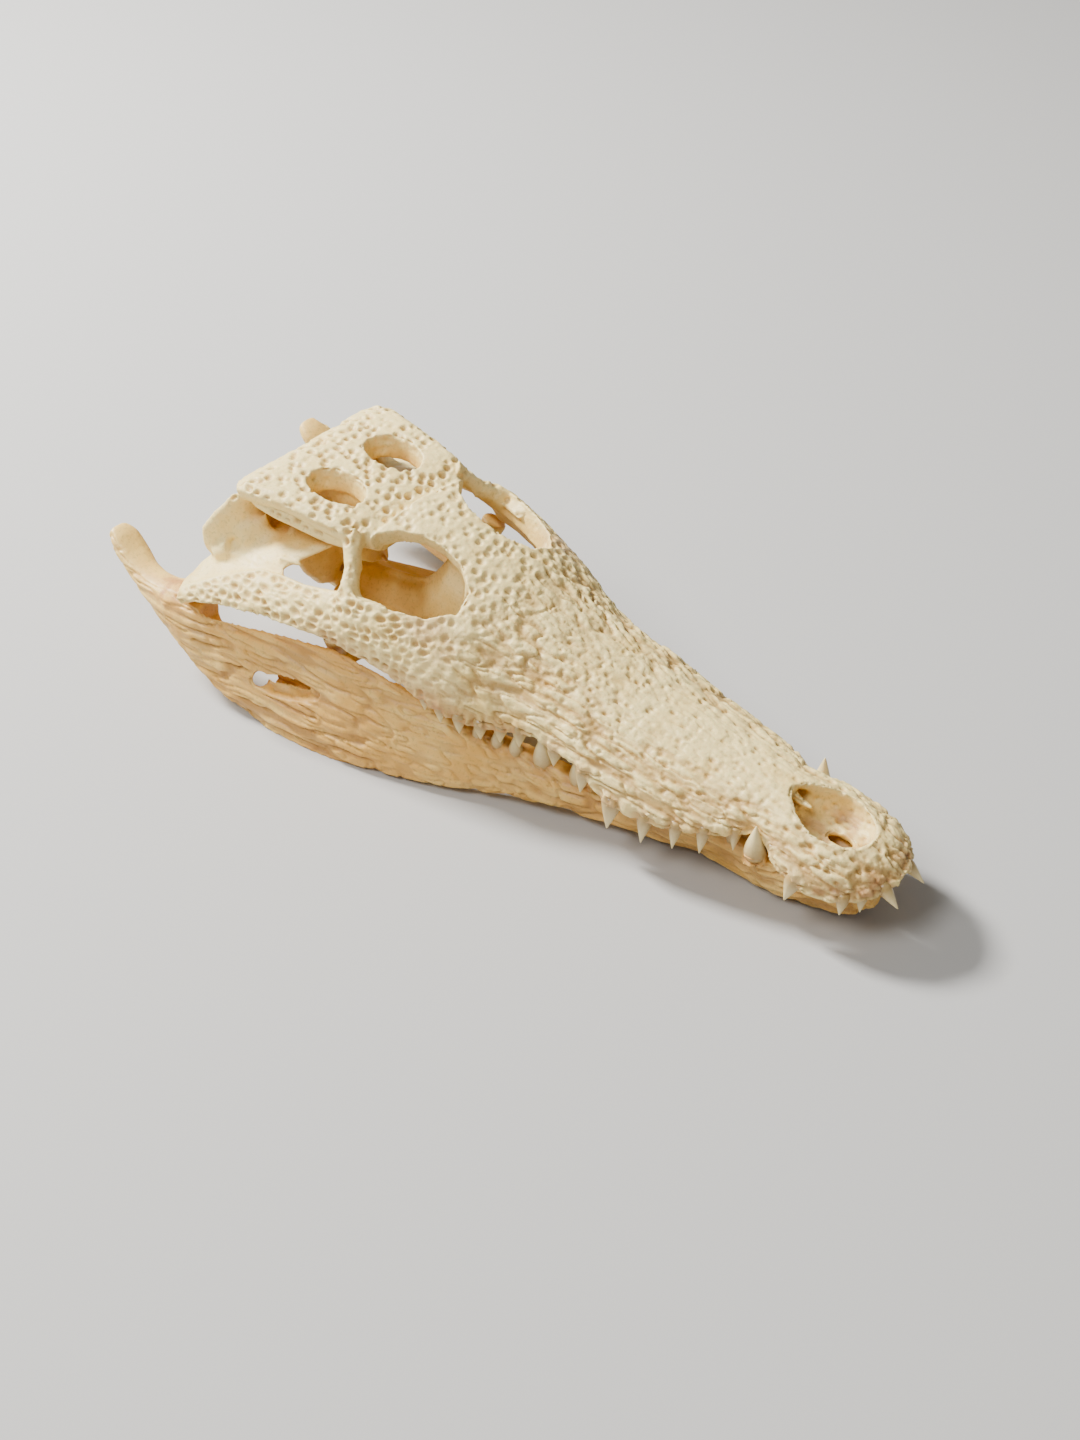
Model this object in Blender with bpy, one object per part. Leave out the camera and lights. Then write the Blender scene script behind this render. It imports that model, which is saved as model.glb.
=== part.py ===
"""Crocodile skull, closed jaws, resting on a table: the cranium and the two halves of the lower jaw.

Right is +X, the snout points to +Y and up is +Z. Places inside the skull are given in hundredths of
the dorsal length, as anatomists do: along is 0 at the back of the skull table and 100 at the snout.
"""

import math
import random

import bmesh
import bpy
from mathutils import Matrix, Vector

# Driving dimensions, in metres.
DORSAL_LENGTH = 0.220        # back of the skull table to the tip of the snout
JOINT_ROOM = 0.0004          # around each half of the jaw joint
PIT_ROOM = 0.0008            # around a tooth in the pit that receives it
BACK_OF_TABLE_Y = -0.08603   # where along = 0 lies, so that the origin is under the middle
PART = DORSAL_LENGTH / 100   # one hundredth of the dorsal length
FLAT_ANGLE = math.radians(1.5)   # faces closer than this to one plane are joined

# Outer shell of snout and cheeks: along, half width, height of the tooth margin, roof and palate.
SNOUT = (
    (100.9, 8.3, 8.6, 10.8, 9.8),   # tip
    (98.5, 8.5, 8.1, 12.2, 9.4),
    (95.0, 8.9, 7.9, 13.2, 9.3),
    (91.5, 9.2, 8.3, 14.0, 9.3),    # premaxilla, widest
    (87.5, 8.8, 9.4, 14.6, 9.5),
    (83.6, 7.1, 11.4, 15.0, 10.2),  # notch for the fourth lower tooth
    (80.0, 8.9, 10.4, 15.3, 10.6),
    (75.0, 10.8, 9.5, 15.8, 11.0),
    (69.5, 12.2, 8.9, 16.6, 11.2),
    (64.5, 12.9, 9.4, 17.5, 11.5),  # fifth maxillary tooth, widest
    (59.5, 12.7, 12.0, 18.6, 12.8),
    (56.8, 12.6, 13.4, 19.4, 14.2),  # over a tall lower tooth
    (54.5, 12.6, 12.9, 20.1, 14.0),
    (51.2, 12.7, 14.0, 21.2, 14.9),  # over the next
    (48.5, 13.2, 13.2, 22.2, 14.9),
    (44.0, 15.0, 12.8, 24.0, 15.0),
    (38.0, 17.2, 14.0, 26.6, 15.8),
    (32.0, 18.1, 16.4, 28.8, 18.0),
    (27.0, 18.9, 18.0, 30.4, 19.8),
    (22.0, 19.6, 18.9, 31.5, 20.8),  # back of the orbit
    (16.0, 18.2, 20.0, 32.0, 22.0),
)
SNOUT_TIP = 100.9
TIP_ROUNDING = 9.0           # length over which the snout rounds off
SNOUT_BACK = 20.3            # its shell ends here, in the bar behind the orbit
SNOUT_STEP = 2.2             # between its cross-sections
ARCH_SIDES = 14              # segments over the roof
RIDGE_WIDTH = 2.3            # tooth-bearing edge
SHELL_WALL = 2.3
ROOF_THICKNESS = 2.2
OPEN_BELOW = 33.0            # the space under the orbits has no floor behind this

# Skull table: along, half width of the top, height of its edge.
TABLE = (
    (20.5, 8.8, 30.2),
    (17.6, 12.0, 31.3),
    (13.0, 12.7, 32.3),
    (7.0, 13.4, 32.9),
    (2.0, 14.4, 33.0),
    (-0.6, 14.5, 32.5),
    (-2.2, 13.2, 31.8),
)
TABLE_THICKNESS = 3.3

# Quadrate: side, front edge along and height, back edge along and height, thickness.
QUADRATE = (
    (3.5, 12.0, 28.4, 0.5, 26.0, 5.0),
    (7.0, 13.4, 28.2, 0.0, 24.4, 4.0),
    (10.3, 13.4, 27.1, -2.2, 22.9, 3.0),
    (13.4, 11.0, 25.7, -4.6, 21.6, 2.8),
    (15.6, 8.9, 24.3, -6.8, 20.4, 3.0),
    (17.3, 10.4, 23.3, -7.7, 19.3, 2.8),
    (19.4, 6.5, 22.0, -7.4, 18.4, 2.6),
    (21.5, 1.6, 20.6, -6.3, 17.8, 2.4),
    (23.2, -1.5, 19.0, -5.5, 17.2, 2.0),
    (24.4, -3.2, 17.8, -4.8, 16.9, 1.6),
)
JOINT = {"centre": (21.0, -5.4, 16.8), "radii": (3.8, 1.7, 1.8), "turn": (0, 0, 20)}

# Half-lengths, half-widths and places of the openings.
NARIS = {"along": 89.9, "half_length": 5.9, "half_width": 4.5, "floor": 10.3, "top": 18.0}
INCISIVE = {"along": 91.4, "half_length": 1.9, "half_width": 1.1}
TEMPORAL_HOLE = {"side": 5.7, "along": 10.4, "half_length": 4.8, "half_width": 3.3}
PALATE_HOLE = {"side": 7.8, "along": 34.5, "half_length": 13.0, "half_width": 3.4}
ORBIT = (
    # side, along, height: the rim, from the postorbital bar round the medial side and back
    (10.6, 20.0, 29.0),
    (8.2, 20.6, 30.0),
    (6.2, 22.6, 30.8),
    (4.6, 25.6, 30.4),
    (4.0, 28.8, 29.4),
    (4.5, 32.2, 28.2),
    (6.6, 35.6, 26.8),
    (9.6, 36.0, 24.8),
    (12.3, 33.0, 23.4),
    (14.2, 29.0, 24.2),
    (15.4, 25.6, 25.2),
    (16.0, 23.2, 25.6),
    (14.9, 21.0, 26.3),
)

# Lower temporal bar: along, then side and height of its upper edge, its middle and its lower edge.
CHEEK_BAR = (
    (27.0, 14.8, 24.9, 17.8, 21.8, 18.6, 18.1),
    (22.0, 15.9, 25.3, 18.7, 22.2, 19.8, 18.8),
    (18.0, 16.6, 24.7, 19.3, 22.2, 20.5, 18.9),
    (14.0, 17.2, 24.0, 19.8, 21.9, 21.1, 19.2),
    (10.0, 17.0, 23.6, 20.4, 21.6, 21.8, 19.1),
    (6.0, 17.4, 23.2, 21.2, 21.0, 22.6, 18.6),
    (2.0, 19.3, 22.0, 22.3, 20.0, 23.5, 17.9),
    (-2.0, 21.6, 20.2, 23.6, 18.8, 24.4, 17.0),
    (-5.4, 23.3, 18.2, 24.6, 17.4, 25.0, 16.4),
)
CHEEK_THICKNESS = 1.9
CHEEK_EDGE = Vector((-1.3, 0, 0.5))   # across its thin lower edge

# Lower jaw, one ramus: along, then inner side, outer side and height of its top and the same of its
# bottom. Where the bottom is below 0 it is cut level, and these flats carry the skull.
RAMUS = (
    (98.2, 0.07, 3.0, 7.0, 0.07, 2.2, 3.6),
    (96.4, 0.07, 4.7, 7.9, 0.07, 3.5, 1.9),
    (93.0, 0.07, 6.3, 8.1, 0.07, 4.7, 0.8),
    (89.5, 0.07, 7.1, 8.4, 0.07, 5.2, 0.2),
    (86.4, 0.07, 8.4, 8.9, 0.07, 5.5, -0.3),
    (84.2, 0.07, 9.4, 9.4, 0.07, 5.8, -0.3),
    (81.2, 0.07, 7.4, 8.9, 0.07, 5.7, -0.3),
    (77.0, 2.6, 7.5, 8.3, 1.8, 6.0, 0.5),
    (70.5, 5.0, 8.9, 8.1, 3.8, 7.6, 0.9),
    (63.0, 6.2, 9.9, 7.3, 5.8, 9.6, 1.3),
    (56.0, 7.4, 11.3, 7.8, 8.2, 12.0, 1.5),
    (50.0, 8.3, 12.2, 8.6, 9.8, 13.8, 1.4),
    (44.0, 9.9, 13.8, 9.6, 12.4, 16.2, 1.1),
    (38.0, 12.2, 15.5, 11.1, 15.2, 18.8, 0.7),
    (32.0, 14.2, 16.9, 13.1, 17.7, 20.9, 0.4),
    (26.0, 15.6, 18.1, 14.9, 19.7, 22.6, 0.1),
    (20.0, 16.5, 19.0, 15.8, 20.5, 23.8, -0.4),
    (14.0, 17.3, 19.9, 15.1, 20.8, 24.6, -0.4),
    (8.0, 18.0, 21.0, 14.5, 21.0, 25.0, 0.0),
    (3.0, 18.6, 22.0, 14.0, 21.0, 25.1, 1.0),
    (-1.0, 18.8, 23.1, 14.0, 20.8, 25.0, 2.3),
    (-5.0, 17.2, 24.3, 15.4, 20.0, 24.7, 4.2),
    (-9.0, 16.8, 24.7, 15.6, 19.4, 24.0, 6.3),
    (-13.0, 18.0, 24.3, 14.8, 18.9, 23.3, 8.6),
    (-17.0, 18.0, 23.6, 15.4, 18.4, 22.5, 11.2),
    (-21.0, 16.6, 22.9, 17.8, 17.2, 22.0, 14.1),
    (-23.2, 16.6, 22.6, 19.2, 17.2, 21.9, 15.8),
    (-24.0, 17.5, 21.6, 19.3, 17.8, 21.2, 17.0),
)
RAMUS_SIDES = 14

# Opening in the outer wall of each ramus, into the trough for the jaw muscles.
JAW_FENESTRA = {"along": 13.8, "height": 8.1, "half_length": 7.8, "half_height": 2.1, "tilt": -9.0}

# Way from the back of that opening down through the lower inner edge: side, along, height, radius.
INNER_FORAMEN = ((25.0, 11.8, 10.9, 1.0), (21.0, 6.9, 6.0, 1.15), (14.0, -2.0, -2.8, 1.3))

# The trough, open above and inwards: along, height of its floor.
TROUGH = (
    (-3.2, 11.5), (1.0, 8.0), (6.0, 5.6), (9.5, 5.0), (12.5, 6.3), (18.0, 6.6), (24.0, 8.4), (29.5, 11.5),
)
TROUGH_WALL = 1.4

# Teeth: along, length of the crown, thickness at its base, lean outwards and forwards in degrees.
UPPER_TEETH = (
    (99.7, 3.0, 1.7, 14, 52),
    (97.7, 3.0, 1.6, 14, 6),
    (96.2, 2.6, 1.6, 14, 2),
    (90.0, 3.9, 2.3, 18, -10),
    (85.9, 1.9, 1.2, 6, 0),
    (80.6, 3.4, 1.5, 4, -2),
    (76.9, 4.0, 1.8, 8, -4),
    (73.4, 4.0, 1.8, 8, -4),
    (69.2, 4.4, 2.1, 9, -4),
    (64.3, 5.2, 2.7, 10, -5),
    (59.5, 4.4, 2.3, 6, -8),
    (54.5, 3.7, 2.2, 4, -6),
    (48.8, 3.5, 2.1, 3, -4),
    (46.2, 3.1, 2.0, 3, -4),
    (43.6, 3.1, 2.0, 2, -4),
    (40.8, 3.0, 1.9, 2, -4),
    (38.2, 2.6, 1.7, 2, -4),
    (35.8, 2.2, 1.5, 2, -4),
)
LOWER_TEETH = (
    (95.8, 1.9, 1.4, 4, 10),
    (93.4, 1.5, 1.2, 6, 4),
    (89.6, 1.4, 1.1, 6, 0),
    (83.7, 4.5, 2.8, 14, -4),
    (79.4, 2.2, 1.5, 4, 0),
    (75.4, 2.2, 1.5, 4, 0),
    (71.4, 2.2, 1.5, 4, 0),
    (66.8, 2.4, 1.6, 4, 0),
    (62.0, 3.0, 1.9, 5, 0),
    (56.9, 4.7, 2.8, 9, 0),
    (51.3, 4.5, 2.8, 9, 0),
    (47.5, 2.9, 1.9, 4, 0),
    (44.9, 2.6, 1.8, 3, 0),
    (42.2, 2.4, 1.7, 2, 0),
    (39.5, 2.0, 1.5, 2, 0),
)
LARGEST_LOWER = 3            # its crown is worn on the right
WORN = 0.8
TOOTH_VARIETY = 0.07         # how far the crowns vary in length from side to side
TOOTH_SIDES = 6
TOOTH_SEED = 4

BONE = {"colour": (0.86, 0.77, 0.58, 1.0), "roughness": 0.55}
JAW_BONE = {"colour": (0.80, 0.66, 0.45, 1.0), "roughness": 0.5}


def place(side, along, height):
    """A point in metres from hundredths of the dorsal length."""
    return Vector((side * PART, along * PART + BACK_OF_TABLE_Y, height * PART))


def eased(table, at):
    """Values at one place of a table whose rows are (along, value, ...), by a smooth monotone curve."""
    rows = sorted(table)
    at = min(max(at, rows[0][0]), rows[-1][0])
    i = max(k for k in range(len(rows) - 1) if rows[k][0] <= at)
    (low, high) = (rows[i], rows[i + 1])
    span = high[0] - low[0]
    t = (at - low[0]) / span
    values = []
    for column in range(1, len(low)):
        def slope(k):
            if k == 0 or k == len(rows) - 1:
                return 0.0
            before = (rows[k][column] - rows[k - 1][column]) / (rows[k][0] - rows[k - 1][0])
            after = (rows[k + 1][column] - rows[k][column]) / (rows[k + 1][0] - rows[k][0])
            return 0.0 if before * after <= 0 else 2 * before * after / (before + after)
        (a, b) = (low[column], high[column])
        (ma, mb) = (slope(i) * span, slope(i + 1) * span)
        values.append(
            (2 * t**3 - 3 * t**2 + 1) * a
            + (t**3 - 2 * t**2 + t) * ma
            + (3 * t**2 - 2 * t**3) * b
            + (t**3 - t**2) * mb
        )
    return values


def object_from(name, mesh):
    obj = bpy.data.objects.new(name, bpy.data.meshes.new(name))
    mesh.to_mesh(obj.data)
    mesh.free()
    bpy.context.scene.collection.objects.link(obj)
    return obj


def loft(name, rings):
    """A closed body through rings of the same number of points, each end closed by a fan."""
    mesh = bmesh.new()
    rows = [[mesh.verts.new(p) for p in ring] for ring in rings]
    count = len(rows[0])
    for (a, b) in zip(rows[:-1], rows[1:]):
        for k in range(count):
            mesh.faces.new((a[k], a[(k + 1) % count], b[(k + 1) % count], b[k]))
    for row in (rows[0], rows[-1]):
        middle = mesh.verts.new(sum((v.co for v in row), Vector()) / count)
        for k in range(count):
            mesh.faces.new((row[k], row[(k + 1) % count], middle))
    bmesh.ops.triangulate(mesh, faces=mesh.faces[:])
    bmesh.ops.recalc_face_normals(mesh, faces=mesh.faces[:])
    return object_from(name, mesh)


def rounded_quad(corners, sides, squareness=3.0):
    """A ring of points inside four corner points, from a circle (2) towards the full quad."""
    (a, b, c, d) = (Vector(p) for p in corners)
    ring = []
    for k in range(sides):
        turn = 2 * math.pi * (k + 0.5) / sides
        (u, v) = (math.cos(turn), math.sin(turn))
        size = (abs(u) ** squareness + abs(v) ** squareness) ** (-1 / squareness)
        (u, v) = ((u * size + 1) / 2, (v * size + 1) / 2)
        ring.append((a * (1 - u) + b * u) * (1 - v) + (d * (1 - u) + c * u) * v)
    return ring


def ellipsoid(name, centre, radii, turn=(0, 0, 0), segments=14, rings=8):
    mesh = bmesh.new()
    bmesh.ops.create_uvsphere(mesh, u_segments=segments, v_segments=rings, radius=1.0)
    spin = Matrix.Rotation(math.radians(turn[2]), 4, "Z") @ Matrix.Rotation(math.radians(turn[1]), 4, "Y")
    spin = spin @ Matrix.Rotation(math.radians(turn[0]), 4, "X")
    scale = Matrix.Diagonal((radii[0] * PART, radii[1] * PART, radii[2] * PART, 1.0))
    mesh.transform(Matrix.Translation(place(*centre)) @ spin @ scale)
    bmesh.ops.triangulate(mesh, faces=mesh.faces[:])
    return object_from(name, mesh)


def strut(name, points, sides=8):
    """A bar of round section through (side, along, height, radius) points."""
    rings = []
    for (k, point) in enumerate(points):
        ahead = Vector(points[min(k + 1, len(points) - 1)][:3]) - Vector(points[max(k - 1, 0)][:3])
        across = Vector((1, 0, 0)).cross(ahead).normalized()
        other = ahead.cross(across).normalized()
        rings.append([
            place(*(Vector(point[:3]) + (across * math.cos(a) + other * math.sin(a)) * point[3]))
            for a in (2 * math.pi * j / sides for j in range(sides))
        ])
    return loft(name, rings)


def mirrored(obj):
    """The same body on the left side."""
    mesh = bmesh.new()
    mesh.from_mesh(obj.data)
    mesh.transform(Matrix.Diagonal((-1.0, 1.0, 1.0, 1.0)))
    bmesh.ops.reverse_faces(mesh, faces=mesh.faces[:])
    return object_from(obj.name + "_left", mesh)


def both(obj):
    return [obj, mirrored(obj)]


def boolean(target, others, operation):
    """Joins or cuts target with all the others at once, and removes them."""
    group = bpy.data.collections.new(target.name + "_" + operation.lower())
    for other in others:
        group.objects.link(other)
    modifier = target.modifiers.new(operation.title(), "BOOLEAN")
    modifier.operation = operation
    modifier.operand_type = "COLLECTION"
    modifier.solver = "MANIFOLD"
    modifier.collection = group
    bpy.context.view_layer.update()
    graph = bpy.context.evaluated_depsgraph_get()
    result = bpy.data.meshes.new_from_object(target.evaluated_get(graph))
    target.modifiers.clear()
    target.data = result
    for other in others:
        bpy.data.objects.remove(other)
    bpy.data.collections.remove(group)
    return target


def largest_shell(obj):
    """Keeps the largest closed surface, so that no sealed hollow or loose scrap stays."""
    mesh = bmesh.new()
    mesh.from_mesh(obj.data)
    left = set(mesh.verts)
    shells = []
    while left:
        (shell, edge) = (set(), [left.pop()])
        while edge:
            vert = edge.pop()
            shell.add(vert)
            near = {e.other_vert(vert) for e in vert.link_edges} & left
            left -= near
            edge.extend(near)
        shells.append(shell)
    shells.sort(key=len)
    for shell in shells[:-1]:
        bmesh.ops.delete(mesh, geom=list(shell), context="VERTS")
    bmesh.ops.dissolve_limit(mesh, angle_limit=FLAT_ANGLE, verts=mesh.verts[:], edges=mesh.edges[:])
    bmesh.ops.triangulate(mesh, faces=mesh.faces[:])
    mesh.to_mesh(obj.data)
    mesh.free()


def snout_at(along):
    """Half width, margin, roof and palate of the snout, with its rounded tip."""
    (half_width, margin, roof, palate) = eased(SNOUT, along)
    past = max(0.0, (along - (SNOUT_TIP - TIP_ROUNDING)) / TIP_ROUNDING)
    closing = math.sqrt(max(0.0, 1 - past**2.1))
    middle = 0.45 * margin + 0.55 * roof
    heights = [middle + (height - middle) * closing**0.5 for height in (margin, roof, palate)]
    return half_width * closing, *heights


def snout_ring(along):
    """Cross-section: an elliptical arch over two tooth-bearing edges and the palate."""
    (half_width, margin, roof, palate) = snout_at(along)
    ring = []
    for k in range(ARCH_SIDES + 1):
        turn = math.pi * k / ARCH_SIDES
        ring.append((half_width * math.cos(turn), margin + (roof - margin) * math.sin(turn) ** 0.92))
    low = margin - 0.35 * min(1.0, (roof - margin) / 5)
    ridge = min(RIDGE_WIDTH, half_width * 0.3)
    inner = half_width - ridge
    ring += [(-half_width + ridge * 0.5, low), (-inner, margin + 0.25 * (palate - margin))]
    ring += [(x * inner, palate) for x in (-0.72, -0.3, 0.3, 0.72)]
    ring += [(inner, margin + 0.25 * (palate - margin)), (half_width - ridge * 0.5, low)]
    return [place(x, along, z) for (x, z) in ring]


def snout_and_cheeks():
    places = [SNOUT_TIP - d for d in (0.02, 0.25, 0.8, 1.7, 3.0)]
    while places[-1] > SNOUT_BACK:
        places.append(max(SNOUT_BACK, places[-1] - SNOUT_STEP))
    return loft("cranium", [snout_ring(along) for along in places])


def hollow_under_the_roof():
    """Space behind and between the orbits, offset inwards from the shell and open below and behind."""
    rings = []
    for along in (11.0, 16.0, 20.0, 24.0, 28.0, 32.0, 35.0, 37.5, 39.5, 40.6):
        (half_width, margin, roof, palate) = snout_at(max(along, 16.0))
        closing = math.sqrt(max(0.02, 1 - max(0.0, (along - 30.0) / 10.8) ** 2))
        half = (half_width - SHELL_WALL) * (0.55 + 0.45 * closing)
        floor = -4.0 if along < OPEN_BELOW else palate + 1.0
        wall_foot = margin - 4.0 if along < OPEN_BELOW else floor
        top = wall_foot + (roof - ROOF_THICKNESS - wall_foot) * (0.3 + 0.7 * closing)
        ring = [
            (half * math.cos(turn), wall_foot + (top - wall_foot) * math.sin(turn) ** 0.9)
            for turn in (math.pi * k / 12 for k in range(13))
        ]
        ring += [(-half * 0.96, floor - 0.4), (half * 0.96, floor - 0.4)]
        rings.append([place(x, along, z) for (x, z) in ring])
    return loft("hollow", rings)


def orbit_cutter():
    """Through the roof along the way that the eye looks, up and a little outwards."""
    middle = sum((Vector(p) for p in ORBIT), Vector()) / len(ORBIT)
    look = Vector((0.42, 0.05, 1.0)).normalized()
    rings = [
        [place(*(middle + (Vector(p) - middle) * scale + look * reach)) for p in ORBIT]
        for (scale, reach) in ((0.92, -6.0), (0.97, -1.5), (1.0, 0.0), (1.08, 6.0))
    ]
    return loft("orbit", rings)


def upright_cutter(name, centre, half_width, half_length, levels, sides=16, point=0.0):
    """An oval prism; levels are (height, scale), and point narrows its back end."""
    rings = []
    for (height, scale) in levels:
        ring = []
        for k in range(sides):
            turn = 2 * math.pi * k / sides
            narrow = 1 - point * max(0.0, -math.sin(turn)) ** 1.5
            side = centre[0] + half_width * scale * math.cos(turn) * narrow
            ring.append(place(side, centre[1] + half_length * scale * math.sin(turn), height))
        rings.append(ring)
    return loft(name, rings)


def cut_snout(cranium):
    """Nostril, passage behind it, incisive foramen, orbits and palate openings."""
    naris = upright_cutter(
        "naris", (0, NARIS["along"]), NARIS["half_width"], NARIS["half_length"],
        ((NARIS["floor"], 0.72), (NARIS["floor"] + 0.8, 0.9), (12.0, 0.98), (NARIS["top"], 1.06)), 18, 0.35,
    )
    passage = ellipsoid("passage", (0, 83.0, 12.7), (2.4, 6.0, 1.4))
    incisive = upright_cutter(
        "incisive", (0, INCISIVE["along"]), INCISIVE["half_width"], INCISIVE["half_length"],
        ((5.0, 1.0), (11.0, 1.0)), 10,
    )
    palate_hole = upright_cutter(
        "palate_hole", (PALATE_HOLE["side"], PALATE_HOLE["along"]), PALATE_HOLE["half_width"],
        PALATE_HOLE["half_length"], ((8.0, 1.0), (18.0, 1.0)), 16,
    )
    cutters = [naris, incisive] + both(orbit_cutter()) + both(palate_hole)
    boolean(cranium, cutters, "DIFFERENCE")
    return boolean(cranium, [passage], "DIFFERENCE")


def skull_table():
    """Flat roof behind the orbits, with its two round temporal openings."""
    rings = []
    for along in (20.5, 19.2, 17.6, 15.3, 13.0, 10.0, 7.0, 4.4, 2.0, 0.6, -0.6, -1.6, -2.2):
        (half_width, edge) = eased(TABLE, along)
        low = edge - TABLE_THICKNESS
        half = [(0.0, edge + 0.15), (0.35, edge + 0.1), (0.7, edge + 0.25), (0.93, edge + 0.2)]
        half += [(1.0, edge - 0.5), (0.99, edge - 1.6), (0.93, low + 0.5), (0.8, low), (0.4, low)]
        ring = [(x * half_width, z) for (x, z) in half] + [(0.0, low)]
        ring += [(-x * half_width, z) for (x, z) in reversed(half[1:])]
        rings.append([place(x, along, z) for (x, z) in ring])
    table = loft("table", rings)
    hole = upright_cutter(
        "temporal_hole", (TEMPORAL_HOLE["side"], TEMPORAL_HOLE["along"]), TEMPORAL_HOLE["half_width"],
        TEMPORAL_HOLE["half_length"], ((26.0, 0.8), (30.0, 0.9), (32.0, 1.0), (34.0, 1.08)), 16,
    )
    return boolean(table, both(hole), "DIFFERENCE")


def braincase():
    """Narrow box under the table, its floor rising forwards, with the occipital condyle behind."""
    rows = (
        # along, half width at the top and bottom, bottom, top
        (18.8, 2.4, 1.0, 27.0, 30.0),
        (16.0, 3.0, 1.4, 24.0, 30.6),
        (12.0, 2.9, 2.2, 20.0, 30.8),
        (8.0, 2.9, 3.2, 16.0, 30.8),
        (4.0, 4.4, 4.0, 13.0, 30.8),
        (0.5, 6.2, 4.2, 13.2, 30.6),
        (-1.6, 6.4, 3.0, 14.6, 30.2),
    )
    rings = [
        [place(*p) for p in rounded_quad(
            ((-bottom, along, low), (bottom, along, low), (top, along, high), (-top, along, high)), 12, 3.4)]
        for (along, top, bottom, low, high) in rows
    ]
    box = loft("braincase", rings)
    condyle = ellipsoid("condyle", (0, -2.6, 20.4), (1.9, 1.9, 1.8), segments=10, rings=6)
    spinal_hole = ellipsoid("spinal_hole", (0, -2.2, 24.2), (1.7, 3.0, 1.5), segments=10, rings=6)
    boolean(box, [spinal_hole], "DIFFERENCE")
    return [box, condyle]


def quadrate():
    """Slanting plate from the ear region out and back to the jaw joint, and the wing behind it."""
    rings = []
    for (side, front, front_height, back, back_height, thick) in QUADRATE:
        corners = (
            (side, back, back_height - thick), (side, front, front_height - thick * 0.5),
            (side, front, front_height), (side, back, back_height),
        )
        rings.append([place(*p) for p in rounded_quad(corners, 12, 3.6)])
    plate = loft("quadrate", rings)
    wing_rows = (
        # side, along, half thickness, bottom, top
        (3.5, -0.4, 1.0, 21.5, 30.2),
        (9.0, -1.0, 0.9, 22.0, 30.2),
        (13.2, -2.2, 1.0, 20.0, 30.4),
        (15.8, -4.4, 1.2, 19.0, 27.8),
        (17.4, -6.0, 0.9, 20.8, 25.0),
    )
    rings = [
        [place(*p) for p in rounded_quad(
            ((side, along - thick, low), (side, along + thick, low),
             (side, along + thick, high), (side, along - thick, high)), 10, 3.0)]
        for (side, along, thick, low, high) in wing_rows
    ]
    wing = loft("occipital_wing", rings)
    joint = ellipsoid("joint", JOINT["centre"], JOINT["radii"], JOINT["turn"], 10, 6)
    return [plate, wing, joint]


def cheek_bar():
    """Lower temporal bar: a slanting band from under the orbit back to the jaw joint."""
    rings = []
    for (along, *points) in CHEEK_BAR:
        outer = [Vector((points[i], 0, points[i + 1])) for i in (0, 2, 4)]
        inwards = Vector((outer[2].z - outer[0].z, 0, outer[0].x - outer[2].x)).normalized()
        ring = [outer[0], (outer[0] + outer[1]) / 2 - inwards * 0.3, outer[1]]
        ring += [(outer[2] + outer[1]) / 2 - inwards * 0.3, outer[2], outer[2] + CHEEK_EDGE]
        ring += [outer[1] + inwards * CHEEK_THICKNESS, outer[0] + inwards * 1.4]
        rings.append([place(p.x, along, p.z) for p in ring])
    return loft("cheek_bar", rings)


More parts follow.
